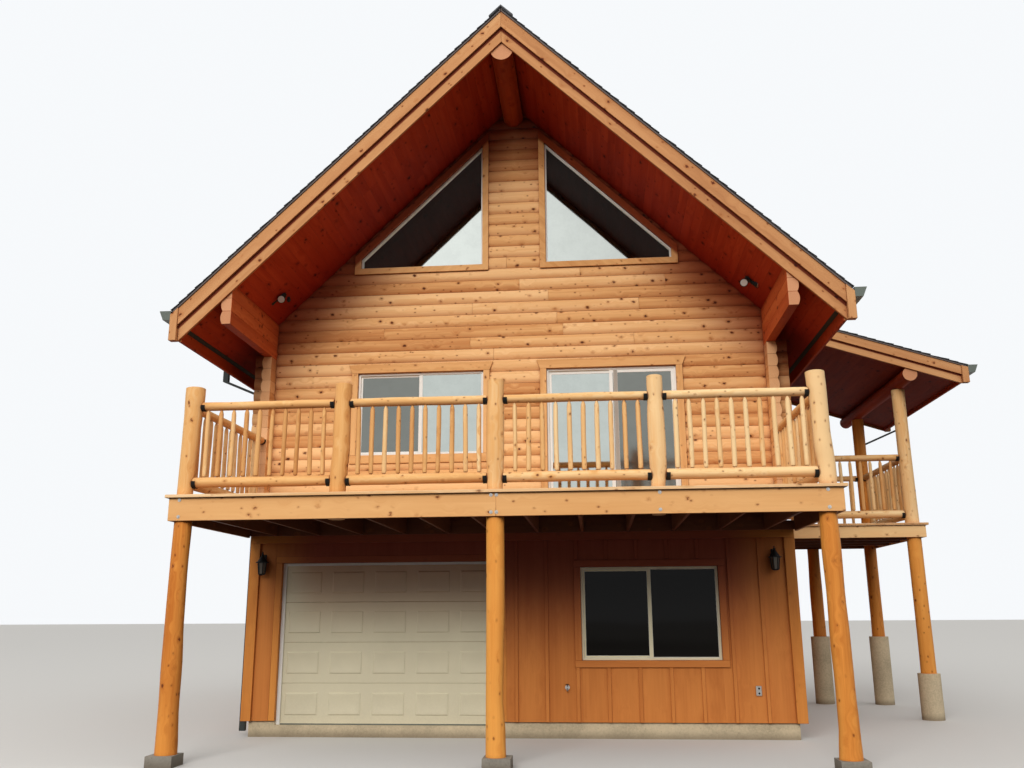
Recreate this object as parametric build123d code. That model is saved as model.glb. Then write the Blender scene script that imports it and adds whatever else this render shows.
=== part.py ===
# A two storey log house: a framed garage storey below, a log storey with a steep gable above,
# a log deck across the front gable and a small covered porch on the right side.
# Lengths are in millimetres. X runs along the front wall, Y from the front to the back, Z up.
# Inside this file X = 0 is the ridge line, Y = 0 the front wall's face and Z = 0 the ground.
# The written pieces are moved so that the origin is the middle of the whole house's footprint.
from build123d import *
import math
import os

# House body
house_width = 7316
house_depth = 9754
floor_rise = 150          # garage floor above the ground
stem_top = 204            # top of the concrete stem walls
stem_thickness = 200
stem_inset = 30           # stem wall face behind the siding
lower_wall_thickness = 165
lower_wall_top = 2590
main_floor_top = 2773
floor_finish_top = 2950
lower_side_projection = 27 # siding past the logs above, on the side walls
seat_gap = 0.3            # clearance between pieces that rest on each other
butt_gap = 0.5            # clearance between pieces that stand end to end

# Trim of the lower storey
trim_thickness = 38
corner_trim_width = 140
band_bottom = 2551

# Log courses
log_height = 175
log_thickness = 140
log_bulge = 24            # how far a log's face swells past its edges
log_gap = 0.5
end_log_length = 210      # side wall logs standing out past the gable walls
tail_length = 180         # gable wall tails standing out past the side walls
outlooker_courses = 2

# Roof
roof_slope = 0.975        # rise over run
soffit_apex = 9195
roof_thickness = 240      # square to the slope
eave_half_width = 4190
gable_overhang = 1855
fascia_thickness = 100
fascia_lip = 42           # the thin board under the roof's edge
fascia_step = 250         # thin board's foot below the thick one's
end_block_depth = 76      # plumb blocks that close the eaves' ends
end_block_proud = 15
fascia_drop = 150         # fascia below the roof's underside
shingle_thickness = 40
shingle_overhang = 20     # past the gables; flush with the fascias at the eaves
ridge_cap_width = 160
ridge_cap_thickness = 25
barge_thickness = 38
barge_upper_width = 170
barge_drop = 80           # lower barge board below the soffit, square to the slope
ridge_log_radius = 150

# Gutters and downspouts
gutter_width = 150
gutter_height = 120
gutter_wall = 4
gutter_drop = 5           # gutter rim below the shingles' edge
downspout_width = 80
downspout_depth = 60
downspout_slant = 0.43    # fall of the slanting pipe over its run
downspout_clearance = 10  # behind the log tails
downspout_end = 60        # above the ground

# Openings in the walls: centre along the wall, width, sill and head above the ground
garage_door_margin = 390  # door opening from the left side wall's face
garage_door_width = 3048
garage_door_height = 2134
lower_window_centre = 1784
lower_window_sill = 978
lower_window_height = 1210
window_width = 1829
upper_bay_centre = 1367
upper_window_sill = 3776
upper_window_height = 1204
door_sill = 2966
door_height = 2014
gable_window_inner = 470
gable_window_clearance = 200.75  # inner head below the roof's underside
gable_window_outer_height = 152.725
side_window_offset = 2400 # side windows from the middle of the wall

# Frames, glass and trim
frame_width = 50
frame_depth = 80
frame_recess = 30
mullion_width = 60
glass_thickness = 20
window_trim_width = 90
window_trim_thickness = 25
header_height = 125
header_flare = 50
sill_height = 120
garage_door_thickness = 45
garage_door_recess = 80
garage_sections = 4
garage_jamb_width = 89

# Front deck
deck_level = 2927
deck_depth = 2562         # rim face in front of the wall
deck_reach = 41           # deck frame past the corner boards below it
deck_board_thickness = 38
deck_board_overhang = 38
post_hole_clearance = 3   # round holes in the decking around posts
deck_rim_height = 259
joist_thickness = 38
joist_height = 235
joist_spacing = 610
post_block_size = 300
post_block_height = 120
deck_post_base_radius = 112
deck_post_top_radius = 93
rail_post_base_radius = 88
rail_post_top_radius = 104
rail_post_top = 4210
post_bays = 4
post_edge = 10            # bevel at a post's top

# Railings
rail_radius = 52
lower_rail_radius = 61
top_rail_level = 3982
lower_rail_level = 3078
baluster_radius = 26
baluster_spacing = 156
baluster_margin = 90      # least space between a post and the first baluster

# Side porch
porch_front = 2280        # rim face behind the front wall
porch_length = 2720
porch_width = 2562        # outer face of the side rim from the side wall's face
porch_rim_height = 184
porch_post_base_radius = 113
porch_post_top_radius = 107
porch_pier_radius = 162
porch_front_pier_top = 667
porch_rear_pier_top = 1150
porch_inner_post_offset = 1422 # from the side wall's face
porch_beam_radius = 110
porch_beam_level = 5200
porch_roof_slope = 1 / 3
porch_roof_front = 1700
porch_roof_rear = 5750
porch_eave_overhang = 605 # roof's edge past the side rim
porch_roof_thickness = 222
porch_barge_upper_width = 140
porch_barge_drop = 44
porch_fascia_step = 60

# Lights
lantern_x = 3470
lantern_level = 2290
lantern_width = 150
lantern_height = 300
floodlight_x = 3270
floodlight_reach = 600
floodlight_radius = 55

# Values worked out from the sizes above
half_width = house_width / 2
side_inner = half_width - log_thickness
slope_angle = math.atan(roof_slope)
slope_cos = math.cos(slope_angle)
porch_angle = math.atan(porch_roof_slope)
porch_cos = math.cos(porch_angle)
gable_front = -gable_overhang
gable_rear = house_depth + gable_overhang
outlooker_reach = gable_overhang - 2 * barge_thickness - seat_gap
lower_half_width = half_width + lower_side_projection
garage_door_left = garage_door_margin - half_width
gable_window_inner_head = soffit_apex - roof_slope * gable_window_inner - gable_window_clearance
gable_window_sill = gable_window_inner_head - roof_slope * window_width - gable_window_outer_height
band_height = main_floor_top - seat_gap - band_bottom
deck_half_length = lower_half_width + trim_thickness + deck_reach
porch_right = half_width + porch_width
porch_eave = porch_right + porch_eave_overhang
porch_inner_post_x = half_width + porch_inner_post_offset
side_log_base = main_floor_top
front_log_base = main_floor_top + log_height / 2
roof_apex = soffit_apex + roof_thickness / slope_cos
shingle_base = roof_apex + seat_gap
shingle_apex = shingle_base + shingle_thickness / slope_cos
fascia_outer = eave_half_width + fascia_thickness
ridge_log_level = soffit_apex - (ridge_log_radius + seat_gap) / slope_cos
deck_frame_top = deck_level - deck_board_thickness
rim_bottom = deck_frame_top - deck_rim_height
porch_rim_bottom = deck_frame_top - porch_rim_height
porch_rear = porch_front + porch_length
porch_beam_underside = porch_beam_level - porch_beam_radius
porch_soffit_at_beam = porch_beam_level + (porch_beam_radius + seat_gap) / porch_cos
gutter_outer = fascia_outer + seat_gap + gutter_width


def post_radius_at(level):
    """Radius of a front deck's rail post, which widens upward."""
    share = (level - rim_bottom) / (rail_post_top - rim_bottom)
    return rail_post_base_radius + share * (rail_post_top_radius - rail_post_base_radius)


def porch_post_radius_at(level):
    """Radius of a porch post, which narrows upward."""
    share = (level - porch_front_pier_top) / (porch_beam_underside - porch_front_pier_top)
    return porch_post_base_radius + share * (porch_post_top_radius - porch_post_base_radius)


# Posts stand just inside the rims that they are bolted to
post_line = -deck_depth + joist_thickness + seat_gap + post_radius_at(deck_frame_top)
end_post_x = deck_half_length - joist_thickness - seat_gap - post_radius_at(deck_frame_top)
post_spacing = 2 * end_post_x / post_bays
porch_post_inset = joist_thickness + seat_gap + porch_post_radius_at(porch_rim_bottom)
porch_post_x = porch_right - porch_post_inset
porch_front_post_y = porch_front + porch_post_inset
porch_rear_post_y = porch_rear - porch_post_inset


def box(x_low, x_high, y_low, y_high, z_low, z_high):
    """A block between two corners."""
    middle = ((x_low + x_high) / 2, (y_low + y_high) / 2, (z_low + z_high) / 2)
    return Pos(*middle) * Box(x_high - x_low, y_high - y_low, z_high - z_low)


def slab_along_y(outline, y_low, y_high):
    """An outline of (x, z) points, drawn out along Y."""
    face = Face(Wire.make_polygon([Vector(x, y_low, z) for x, z in outline]))
    return Solid.extrude(face, Vector(0, y_high - y_low, 0))


def slab_along_x(outline, x_low, x_high):
    """An outline of (y, z) points, drawn out along X."""
    face = Face(Wire.make_polygon([Vector(x_low, y, z) for y, z in outline]))
    return Solid.extrude(face, Vector(x_high - x_low, 0, 0))


def round_bar(start, end, radius, end_radius=None):
    """A round log or rod between two points, straight or tapered."""
    axis = Vector(*end) - Vector(*start)
    place = Plane(origin=Vector(*start), z_dir=axis)
    if end_radius is None:
        return place * Cylinder(radius, axis.length, align=(Align.CENTER, Align.CENTER, Align.MIN))
    return place * Cone(radius, end_radius, axis.length, align=(Align.CENTER, Align.CENTER, Align.MIN))


def mirrored(shapes):
    """The same shapes on the other side of the ridge line."""
    return [mirror(shape, about=Plane.YZ) for shape in shapes]


def soffit_at(x):
    """Height of the main roof's underside."""
    return soffit_apex - roof_slope * abs(x)


def roof_top_at(x):
    return roof_apex - roof_slope * abs(x)


def shingle_top_at(x):
    return shingle_apex - roof_slope * abs(x)


def porch_soffit_at(x):
    """Height of the porch roof's underside."""
    return porch_soffit_at_beam + (porch_post_x - x) * porch_roof_slope


def solids_of(shape):
    return list(shape.solids())


def cut_pieces(shape, tools):
    """The solids that are left of a shape when the tools that reach it are cut away."""
    pieces = [shape]
    for tool in tools:
        left = []
        for piece in pieces:
            left += solids_of(piece - tool) if touches(piece, tool) else [piece]
        pieces = left
    return pieces


def touches(first, second):
    """Whether two shapes' boxes overlap."""
    a = first.bounding_box()
    b = second.bounding_box()
    return (a.min.X < b.max.X and b.min.X < a.max.X and a.min.Y < b.max.Y and b.min.Y < a.max.Y
            and a.min.Z < b.max.Z and b.min.Z < a.max.Z)


# Openings, each as (centre along the wall, width, sill, height)

garage_opening = (garage_door_left + garage_door_width / 2, garage_door_width + 2 * garage_jamb_width,
                  stem_top, floor_rise + garage_door_height + garage_jamb_width - stem_top)
lower_window = (lower_window_centre, window_width, lower_window_sill, lower_window_height)
upper_window = (-upper_bay_centre, window_width, upper_window_sill, upper_window_height)
patio_door = (upper_bay_centre, window_width, door_sill, door_height)
middle_y = house_depth / 2
porch_middle = porch_front + porch_length / 2
rear_y = middle_y + side_window_offset
front_y = middle_y - side_window_offset
gable_head_drop = roof_slope * window_width

lower_openings = {
    "front": [garage_opening, lower_window],
    "rear": [(0, window_width, lower_window_sill, lower_window_height)],
    "left": [(y, window_width, lower_window_sill, lower_window_height) for y in (front_y, rear_y)],
    "right": [(rear_y, window_width, lower_window_sill, lower_window_height)],
}
upper_openings = {
    "front": [upper_window, patio_door],
    "rear": [upper_window, (upper_bay_centre, window_width, upper_window_sill, upper_window_height)],
    "left": [(y, window_width, upper_window_sill, upper_window_height) for y in (front_y, rear_y)],
    "right": [(porch_middle, window_width, door_sill, door_height),
              (rear_y, window_width, upper_window_sill, upper_window_height)],
}


def on_wall(side, along, out, level):
    """A place on a wall: along it, out from its face and above the ground."""
    if side == "front":
        return Pos(along, -out, level)
    if side == "rear":
        return Pos(-along, house_depth + out, level) * Rot(0, 0, 180)
    if side == "left":
        return Pos(-half_width - out, along, level) * Rot(0, 0, -90)
    return Pos(half_width + out, along, level) * Rot(0, 0, 90)


def wall_block(side, low, high, out, inside, bottom, top):
    """A block on a wall, from one place along it to another and from its face inward."""
    middle = on_wall(side, (low + high) / 2, out, bottom)
    block = Box(high - low, out + inside, top - bottom, align=(Align.CENTER, Align.MIN, Align.MIN))
    return middle * block


def wall_panels(low, high, bottom, top, openings):
    """Rectangles of a wall around its openings: strips beside, below and above each one."""
    panels = []
    left = low
    for centre, width, sill, height in sorted(openings):
        edge = centre - width / 2
        panels.append((left, edge, bottom, top))
        left = edge + width
        if sill > bottom:
            panels.append((edge, left, bottom, sill))
        panels.append((edge, left, sill + height, top))
    panels.append((left, high, bottom, top))
    return panels


def siding_out(side):
    """How far the siding of the garage storey stands out past the logs above it."""
    return lower_side_projection if side in ("left", "right") else 0


def framed_wall(side, low, high):
    """A framed wall of the garage storey, split around its openings."""
    pieces = []
    for start, end, bottom, top in wall_panels(low, high, stem_top + seat_gap, lower_wall_top,
                                               lower_openings[side]):
        pieces.append(wall_block(side, start + butt_gap / 2, end - butt_gap / 2, siding_out(side),
                                 lower_wall_thickness - siding_out(side), bottom, top - seat_gap))
    return pieces


def d_log(length, height):
    """A log with flat bed faces and a swelling outer face, along +X, its face towards -Y."""
    edge = log_bulge
    start = Vector(0, edge, 0)
    crown = Vector(0, 0, height / 2)
    end = Vector(0, edge, height)
    inner_top = Vector(0, log_thickness, height)
    inner_bottom = Vector(0, log_thickness, 0)
    outline = Wire([Edge.make_three_point_arc(start, crown, end), Edge.make_line(end, inner_top),
                    Edge.make_line(inner_top, inner_bottom), Edge.make_line(inner_bottom, start)])
    return Solid.extrude(Face(outline), Vector(length, 0, 0))


def laid_log(side, low, high, level, height=log_height):
    """One log in a wall, from one place along the wall to another."""
    start = low if side in ("front", "right") else high
    if side == "rear":
        start = low
    log = d_log(high - low, height - log_gap)
    return on_wall(side, start, 0, level) * log


def opening_block(side, opening):
    """The hole that a window or door needs, through the whole wall."""
    centre, width, sill, height = opening
    return wall_block(side, centre - width / 2, centre + width / 2, 50, log_thickness + 50, sill, sill + height)


def gable_window_outline(hand, grow=0.0):
    """Corners of the sloping gable window, grown on every side."""
    inner = gable_window_inner - grow
    outer = gable_window_inner + window_width + grow
    rise = grow / slope_cos
    head_inner = gable_window_inner_head + rise + roof_slope * grow
    head_outer = gable_window_inner_head + rise - roof_slope * (window_width + grow)
    sill = gable_window_sill - grow
    return [(hand * inner, sill), (hand * outer, sill), (hand * outer, head_outer), (hand * inner, head_inner)]


def under_roof():
    """The space below the roof's underside, for trimming gable logs to the slope."""
    reach = half_width + tail_length + 500
    apex = soffit_apex - seat_gap / slope_cos
    outline = [(-reach, 0), (reach, 0), (reach, apex - roof_slope * reach), (0, apex),
               (-reach, apex - roof_slope * reach)]
    return slab_along_y(outline, gable_front - 500, gable_rear + 500)


roof_space = under_roof()


def gable_wall(side):
    """A gable wall of logs between the side walls, cut to the roof and around its openings."""
    ridge_hole = round_bar((0, gable_front, ridge_log_level), (0, gable_rear, ridge_log_level),
                           ridge_log_radius + seat_gap)
    holes = [opening_block(side, opening) for opening in upper_openings[side]]
    face_y = 0 if side == "front" else house_depth
    if side == "front":
        for hand in (-1, 1):
            holes.append(slab_along_y(gable_window_outline(hand), face_y - 200, face_y + 200))
    holes.append(ridge_hole)
    reach = side_inner - butt_gap
    pieces = [laid_log(side, -reach, reach, main_floor_top + seat_gap, log_height / 2)]
    level = front_log_base
    while level < soffit_apex - log_height / 2:
        log = laid_log(side, -reach, reach, level)
        if level + log_height > soffit_at(side_inner):
            log = log & roof_space
        pieces += cut_pieces(log, holes) if touches_any(log, holes) else solids_of(log)
        level += log_height
    return pieces + gable_tails(side)


def touches_any(shape, tools):
    return any(touches(shape, tool) for tool in tools)


def gable_tails(side):
    """Short log tails that stand out past the side walls, in line with the gable wall."""
    tails = []
    inner = half_width + butt_gap
    outer = half_width + tail_length
    level = front_log_base
    while level + log_height < soffit_at(outer):
        tails.append(laid_log(side, -outer, -inner, level))
        tails.append(laid_log(side, inner, outer, level))
        level += log_height
    return tails


def side_wall(side):
    """A side wall of logs whose ends stand out past the gables, with plate logs under the overhang."""
    low = -end_log_length
    high = house_depth + end_log_length
    courses = math.ceil((soffit_at(side_inner) - side_log_base) / log_height)
    full_courses = math.floor((soffit_at(half_width) - side_log_base) / log_height)
    holes = [opening_block(side, opening) for opening in upper_openings[side]]
    pieces = []
    for course in range(courses):
        level = side_log_base + course * log_height
        if course == 0:
            level += seat_gap
        start, end = low, high
        if course >= full_courses - outlooker_courses:
            start, end = -outlooker_reach, house_depth + outlooker_reach
        height = log_height - (seat_gap if course == 0 else 0)
        log = laid_log(side, start, end, level, height)
        if course >= full_courses:
            log = log & roof_space
        pieces += cut_pieces(log, holes) if touches_any(log, holes) else solids_of(log)
    return pieces


# Lower storey

def foundation_walls():
    """Concrete stem walls under the framed walls, lower where the garage door stands."""
    outer = half_width - stem_inset
    inner = outer - stem_thickness
    front = stem_inset
    rear = house_depth - stem_inset
    door_low = garage_door_left
    door_high = garage_door_left + garage_door_width
    pieces = [
        box(-outer, door_low, front, front + stem_thickness, 0, stem_top),
        box(door_low + butt_gap, door_high - butt_gap, front, front + stem_thickness, 0, floor_rise),
        box(door_high, outer, front, front + stem_thickness, 0, stem_top),
        box(-outer, outer, rear - stem_thickness, rear, 0, stem_top),
    ]
    side = box(inner, outer, front + stem_thickness + butt_gap, rear - stem_thickness - butt_gap, 0, stem_top)
    return pieces + [side] + mirrored([side])


def garage_floor():
    inner = half_width - stem_inset - stem_thickness - butt_gap
    front = stem_inset + stem_thickness + butt_gap
    return [box(-inner, inner, front, house_depth - front, 0, floor_rise)]


def lower_side_wall(side):
    return framed_wall(side, lower_wall_thickness + butt_gap, house_depth - lower_wall_thickness - butt_gap)


def lower_trim():
    """Corner boards and the band board around the head of the garage storey."""
    face = seat_gap + trim_thickness
    pieces = []
    bottom = stem_top
    top = band_bottom - butt_gap
    reach = lower_half_width + face
    for side in ("front", "rear"):
        for hand in (-1, 1):
            low, high = sorted((hand * reach, hand * (reach - corner_trim_width)))
            pieces.append(trim_block(side, low, high, bottom, top))
    for side in ("left", "right"):
        for low in (butt_gap, house_depth - corner_trim_width):
            pieces.append(trim_block(side, low, low + corner_trim_width - butt_gap, bottom, top))
    for side in ("front", "rear"):
        pieces.append(trim_block(side, -reach, reach, band_bottom, band_bottom + band_height))
    for side in ("left", "right"):
        pieces.append(trim_block(side, butt_gap, house_depth - butt_gap, band_bottom, band_bottom + band_height))
    return pieces


def trim_block(side, low, high, bottom, top):
    """A flat board on the siding of a wall."""
    place = on_wall(side, (low + high) / 2, siding_out(side) + seat_gap + trim_thickness, bottom)
    return place * Box(high - low, trim_thickness, top - bottom, align=(Align.CENTER, Align.MIN, Align.MIN))


def garage_door():
    """The closed sectional door, four sections high."""
    section = garage_door_height / garage_sections
    front = garage_door_recess
    pieces = []
    for index in range(garage_sections):
        low = floor_rise + seat_gap + index * section
        pieces.append(box(garage_door_left + butt_gap, garage_door_left + garage_door_width - butt_gap,
                          front, front + garage_door_thickness, low, low + section - butt_gap))
    return pieces


def garage_door_frame():
    """Jambs and head that line the garage doorway."""
    low = garage_door_left
    high = garage_door_left + garage_door_width
    head = floor_rise + garage_door_height
    depth = lower_wall_thickness
    width = garage_jamb_width - butt_gap
    return [
        box(low - width, low, 0, depth, stem_top + seat_gap, head - butt_gap),
        box(high, high + width, 0, depth, stem_top + seat_gap, head - butt_gap),
        box(low - width, high + width, 0, depth, head, head + width),
    ]


def main_floor():
    """The floor between the storeys, and the raised floor inside the log walls, level with the door sills."""
    side = side_inner - seat_gap
    front = log_thickness + seat_gap
    return [box(-half_width, half_width, 0, house_depth, lower_wall_top, main_floor_top),
            box(-side, side, front, house_depth - front, main_floor_top + seat_gap, floor_finish_top)]


# Windows and doors

def framed_unit(side, opening, recess, panes=2):
    """A frame with a middle stile and its panes of glass, set in an opening."""
    centre, width, sill, height = opening
    clear = butt_gap
    low = centre - width / 2 + clear
    high = centre + width / 2 - clear
    bottom = sill + seat_gap
    top = sill + height - clear
    frame = wall_block(side, low, high, -recess, recess + frame_depth, bottom, top)
    glass = []
    pane_width = (high - low - 2 * frame_width - (panes - 1) * mullion_width) / panes
    for pane in range(panes):
        start = low + frame_width + pane * (pane_width + mullion_width)
        end = start + pane_width
        hole = wall_block(side, start, end, -recess + 5, recess + frame_depth + 5, bottom + frame_width,
                          top - frame_width)
        frame = frame - hole
        middle = recess + frame_depth / 2
        glass.append(wall_block(side, start + seat_gap, end - seat_gap, glass_thickness / 2 - middle,
                                middle + glass_thickness / 2, bottom + frame_width + seat_gap,
                                top - frame_width - seat_gap))
    return solids_of(frame), glass


def gable_window(hand):
    """A sloping gable window: frame and one pane."""
    clear = -butt_gap
    front = frame_recess
    outer = slab_along_y(gable_window_outline(hand, clear), front, front + frame_depth)
    hole = slab_along_y(gable_window_outline(hand, clear - frame_width), front - 5, front + frame_depth + 5)
    middle = front + frame_depth / 2
    pane = slab_along_y(gable_window_outline(hand, clear - frame_width - seat_gap),
                        middle - glass_thickness / 2, middle + glass_thickness / 2)
    return solids_of(outer - hole), [pane]


def windows():
    """All window frames and all panes."""
    frames = []
    glass = []
    for storey in (lower_openings, upper_openings):
        for side, openings in storey.items():
            for opening in openings:
                if opening == garage_opening:
                    continue
                out = siding_out(side) if storey is lower_openings else 0
                frame, panes = framed_unit(side, opening, frame_recess - out)
                frames += frame
                glass += panes
    for hand in (-1, 1):
        frame, panes = gable_window(hand)
        frames += frame
        glass += panes
    return frames, glass


def board_on_wall(side, low, high, bottom, top, out=0):
    """A flat casing board on a wall's face."""
    place = on_wall(side, (low + high) / 2, out + seat_gap + window_trim_thickness, bottom)
    board = Box(high - low, window_trim_thickness, top - bottom, align=(Align.CENTER, Align.MIN, Align.MIN))
    return place * board


def flared_header(side, centre, half, bottom):
    """A header board whose ends lean outward."""
    outline = [(-half, 0), (half, 0), (half + header_flare, header_height), (-half - header_flare, header_height)]
    face = Face(Wire.make_polygon([Vector(x, 0, z) for x, z in outline]))
    board = Solid.extrude(face, Vector(0, window_trim_thickness, 0))
    return on_wall(side, centre, seat_gap + window_trim_thickness, bottom) * board


def casing(side, opening, plain):
    """Casing boards around a window or door: side boards, header and sill."""
    centre, width, sill, height = opening
    inner = width / 2
    outer = inner + window_trim_width
    top = sill + height
    is_door = sill == door_sill
    bottom = deck_level + seat_gap if is_door else sill
    out = siding_out(side) if plain else 0
    pieces = [board_on_wall(side, centre - outer, centre - inner, bottom, top, out),
              board_on_wall(side, centre + inner, centre + outer, bottom, top, out)]
    if plain:
        pieces.append(board_on_wall(side, centre - outer, centre + outer, top + butt_gap,
                                    top + window_trim_width, out))
    else:
        pieces.append(flared_header(side, centre, outer, top + butt_gap))
    if not is_door:
        drop = window_trim_width if plain else sill_height
        pieces.append(board_on_wall(side, centre - outer, centre + outer, sill - drop, sill - butt_gap, out))
    return pieces


def gable_casing(hand):
    """Casing around a sloping gable window, in one piece."""
    front = -seat_gap - window_trim_thickness
    outer = slab_along_y(gable_window_outline(hand, window_trim_width), front, -seat_gap)
    hole = slab_along_y(gable_window_outline(hand), front - 5, 5)
    return solids_of(outer - hole)


def window_trim():
    pieces = []
    for side, openings in lower_openings.items():
        for opening in openings:
            if opening != garage_opening:
                pieces += casing(side, opening, True)
    for side, openings in upper_openings.items():
        for opening in openings:
            pieces += casing(side, opening, False)
    for hand in (-1, 1):
        pieces += gable_casing(hand)
    return pieces


# Roof

def roof_half():
    """The right half of the roof: boards and rafters in one slab."""
    inner = butt_gap / 2
    front = gable_front + 2 * barge_thickness + seat_gap
    rear = gable_rear - 2 * barge_thickness - seat_gap
    outline = [(inner, soffit_at(inner)), (eave_half_width, soffit_at(eave_half_width)),
               (eave_half_width, roof_top_at(eave_half_width)), (inner, roof_top_at(inner))]
    return slab_along_y(outline, front, rear)


def shingle_half():
    """The right half of the shingle layer."""
    inner = butt_gap / 2
    edge = fascia_outer
    lift = seat_gap / slope_cos
    outline = [(inner, roof_top_at(inner) + lift), (edge, roof_top_at(edge) + lift),
               (edge, shingle_top_at(edge)), (inner, shingle_top_at(inner))]
    return slab_along_y(outline, gable_front - shingle_overhang, gable_rear + shingle_overhang)


def ridge_cap_half():
    """The right half of the shingles bent over the ridge."""
    inner = butt_gap / 2
    edge = ridge_cap_width
    low = seat_gap / slope_cos
    high = low + ridge_cap_thickness / slope_cos
    outline = [(inner, shingle_top_at(inner) + low), (edge, shingle_top_at(edge) + low),
               (edge, shingle_top_at(edge) + high), (inner, shingle_top_at(inner) + high)]
    return slab_along_y(outline, gable_front - shingle_overhang, gable_rear + shingle_overhang)


def barge_half(y_low, low_offset, high_offset):
    """A barge board on the right slope, between two offsets measured square to the roof's underside."""
    inner = butt_gap / 2
    outer = eave_half_width - butt_gap
    low = low_offset / slope_cos
    high = high_offset / slope_cos
    outline = [(inner, soffit_at(inner) + low), (outer, soffit_at(outer) + low),
               (outer, soffit_at(outer) + high), (inner, soffit_at(inner) + high)]
    return slab_along_y(outline, y_low, y_low + barge_thickness)


def barge_boards(upper_y, lower_y):
    """An upper barge board with a lower one stepped back behind it, on both slopes."""
    upper = barge_half(upper_y, roof_thickness - barge_upper_width, roof_thickness)
    lower = barge_half(lower_y, -barge_drop, roof_thickness)
    return [upper, lower] + mirrored([upper, lower])


def front_barge_boards():
    return barge_boards(gable_front, gable_front + barge_thickness + seat_gap / 2)


def rear_barge_boards():
    return barge_boards(gable_rear - barge_thickness, gable_rear - 2 * barge_thickness - seat_gap / 2)


def eave_fascia(eave, top_at, underside_at, bottom, step, y_low, y_high):
    """A thin board under the roof's edge, a thick one beside it, and plumb blocks at their ends."""
    inner = eave + seat_gap
    outer = eave + fascia_thickness
    lip = eave - fascia_lip
    under = seat_gap
    low = y_low + end_block_depth + seat_gap
    high = y_high - end_block_depth - seat_gap
    lower = [(lip, bottom), (eave, bottom), (eave, underside_at(eave) - under), (lip, underside_at(lip) - under)]
    upper = [(inner, step), (outer, step), (outer, top_at(outer)), (inner, top_at(inner))]
    end = [(inner, bottom), (outer, bottom), (outer, top_at(outer)), (inner, top_at(inner))]
    return [slab_along_y(lower, low, high), slab_along_y(upper, low, high),
            slab_along_y(end, y_low - end_block_proud, y_low + end_block_depth),
            slab_along_y(end, y_high - end_block_depth, y_high + end_block_proud)]


def fascia_bottom():
    return soffit_at(eave_half_width) - fascia_drop + barge_drop / 2


def eave_fascias():
    bottom = fascia_bottom()
    main = eave_fascia(eave_half_width, roof_top_at, soffit_at, bottom, bottom + fascia_step, gable_front,
                       gable_rear)
    return main + mirrored(main)


def ridge_log():
    return [round_bar((0, gable_front + 2 * barge_thickness + seat_gap, ridge_log_level),
                      (0, gable_rear - 2 * barge_thickness - seat_gap, ridge_log_level), ridge_log_radius)]


# Gutters and downspouts

def gutter_run(inner, top, y_low, y_high):
    """An open gutter on the right side, with closed ends."""
    outer = inner + gutter_width
    bottom = top - gutter_height
    foot = outer - gutter_width / 3
    shell = slab_along_y([(inner, bottom), (foot, bottom), (outer, top), (inner, top)], y_low, y_high)
    wall = gutter_wall
    inside = slab_along_y([(inner + wall, bottom + wall), (foot - wall, bottom + wall),
                           (outer - wall * 2, top + wall), (inner + wall, top + wall)],
                          y_low + wall, y_high - wall)
    return solids_of(shell - inside)


def gutter_rim():
    """Height of the main gutters' rim."""
    return shingle_top_at(fascia_outer) - gutter_drop


def porch_top_at(x):
    return porch_soffit_at(x) + porch_roof_thickness / porch_cos


def porch_gutter_rim():
    return porch_top_at(porch_eave + fascia_thickness) + shingle_thickness / porch_cos - gutter_drop


def gutters():
    inner = fascia_outer + seat_gap
    left = mirrored(gutter_run(inner, gutter_rim(), gable_front, gable_rear))
    front = gutter_run(inner, gutter_rim(), gable_front, porch_roof_front - 60)
    rear = gutter_run(inner, gutter_rim(), porch_roof_rear + 60, gable_rear)
    porch = gutter_run(porch_eave + fascia_thickness + 2 * seat_gap, porch_gutter_rim(), porch_roof_front,
                       porch_roof_rear)
    return left + front + rear + porch


def downspout(gutter_inner, rim, bend, wall, y_low):
    """Three straight pipes: down from the gutter, slanting in to the wall, and down to the ground."""
    top = rim - gutter_height - seat_gap
    inner = gutter_inner + (gutter_width * 2 / 3 - downspout_width) / 2
    low_bend = bend - (inner - wall) * downspout_slant
    pipe = downspout_width
    outlines = [
        [(inner, top), (inner, bend), (inner + pipe, bend), (inner + pipe, top)],
        [(inner, bend), (wall, low_bend), (wall + pipe, low_bend), (inner + pipe, bend)],
        [(wall, low_bend), (wall, downspout_end), (wall + pipe, downspout_end), (wall + pipe, low_bend)],
    ]
    return [slab_along_y(outline, y_low, y_low + downspout_depth) for outline in outlines]


def downspouts():
    """Two on the left side and one at the right rear corner, and one behind the porch's rear post."""
    inner = fascia_outer + seat_gap
    bend = fascia_bottom() - downspout_width / 2
    wall = lower_half_width + trim_thickness + 2 * seat_gap
    front_low = log_thickness + downspout_clearance
    rear_low = house_depth - front_low - downspout_depth
    rear = downspout(inner, gutter_rim(), bend, wall, rear_low)
    left = mirrored(downspout(inner, gutter_rim(), bend, wall, front_low) + rear)
    porch_inner = porch_eave + fascia_thickness + seat_gap
    porch_bend = porch_soffit_at(porch_eave) - porch_barge_drop - downspout_width / 2
    porch = downspout(porch_inner, porch_gutter_rim(), porch_bend, porch_post_x - downspout_width / 2,
                      porch_rear + deck_board_overhang + seat_gap)
    return left + rear + porch


# Front deck

def post_positions():
    return [(index - post_bays / 2) * post_spacing for index in range(post_bays + 1)]


def carried_positions():
    """Posts that run down to the ground: the ends and the middle."""
    places = post_positions()
    return [places[0], places[post_bays // 2], places[-1]]


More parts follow.
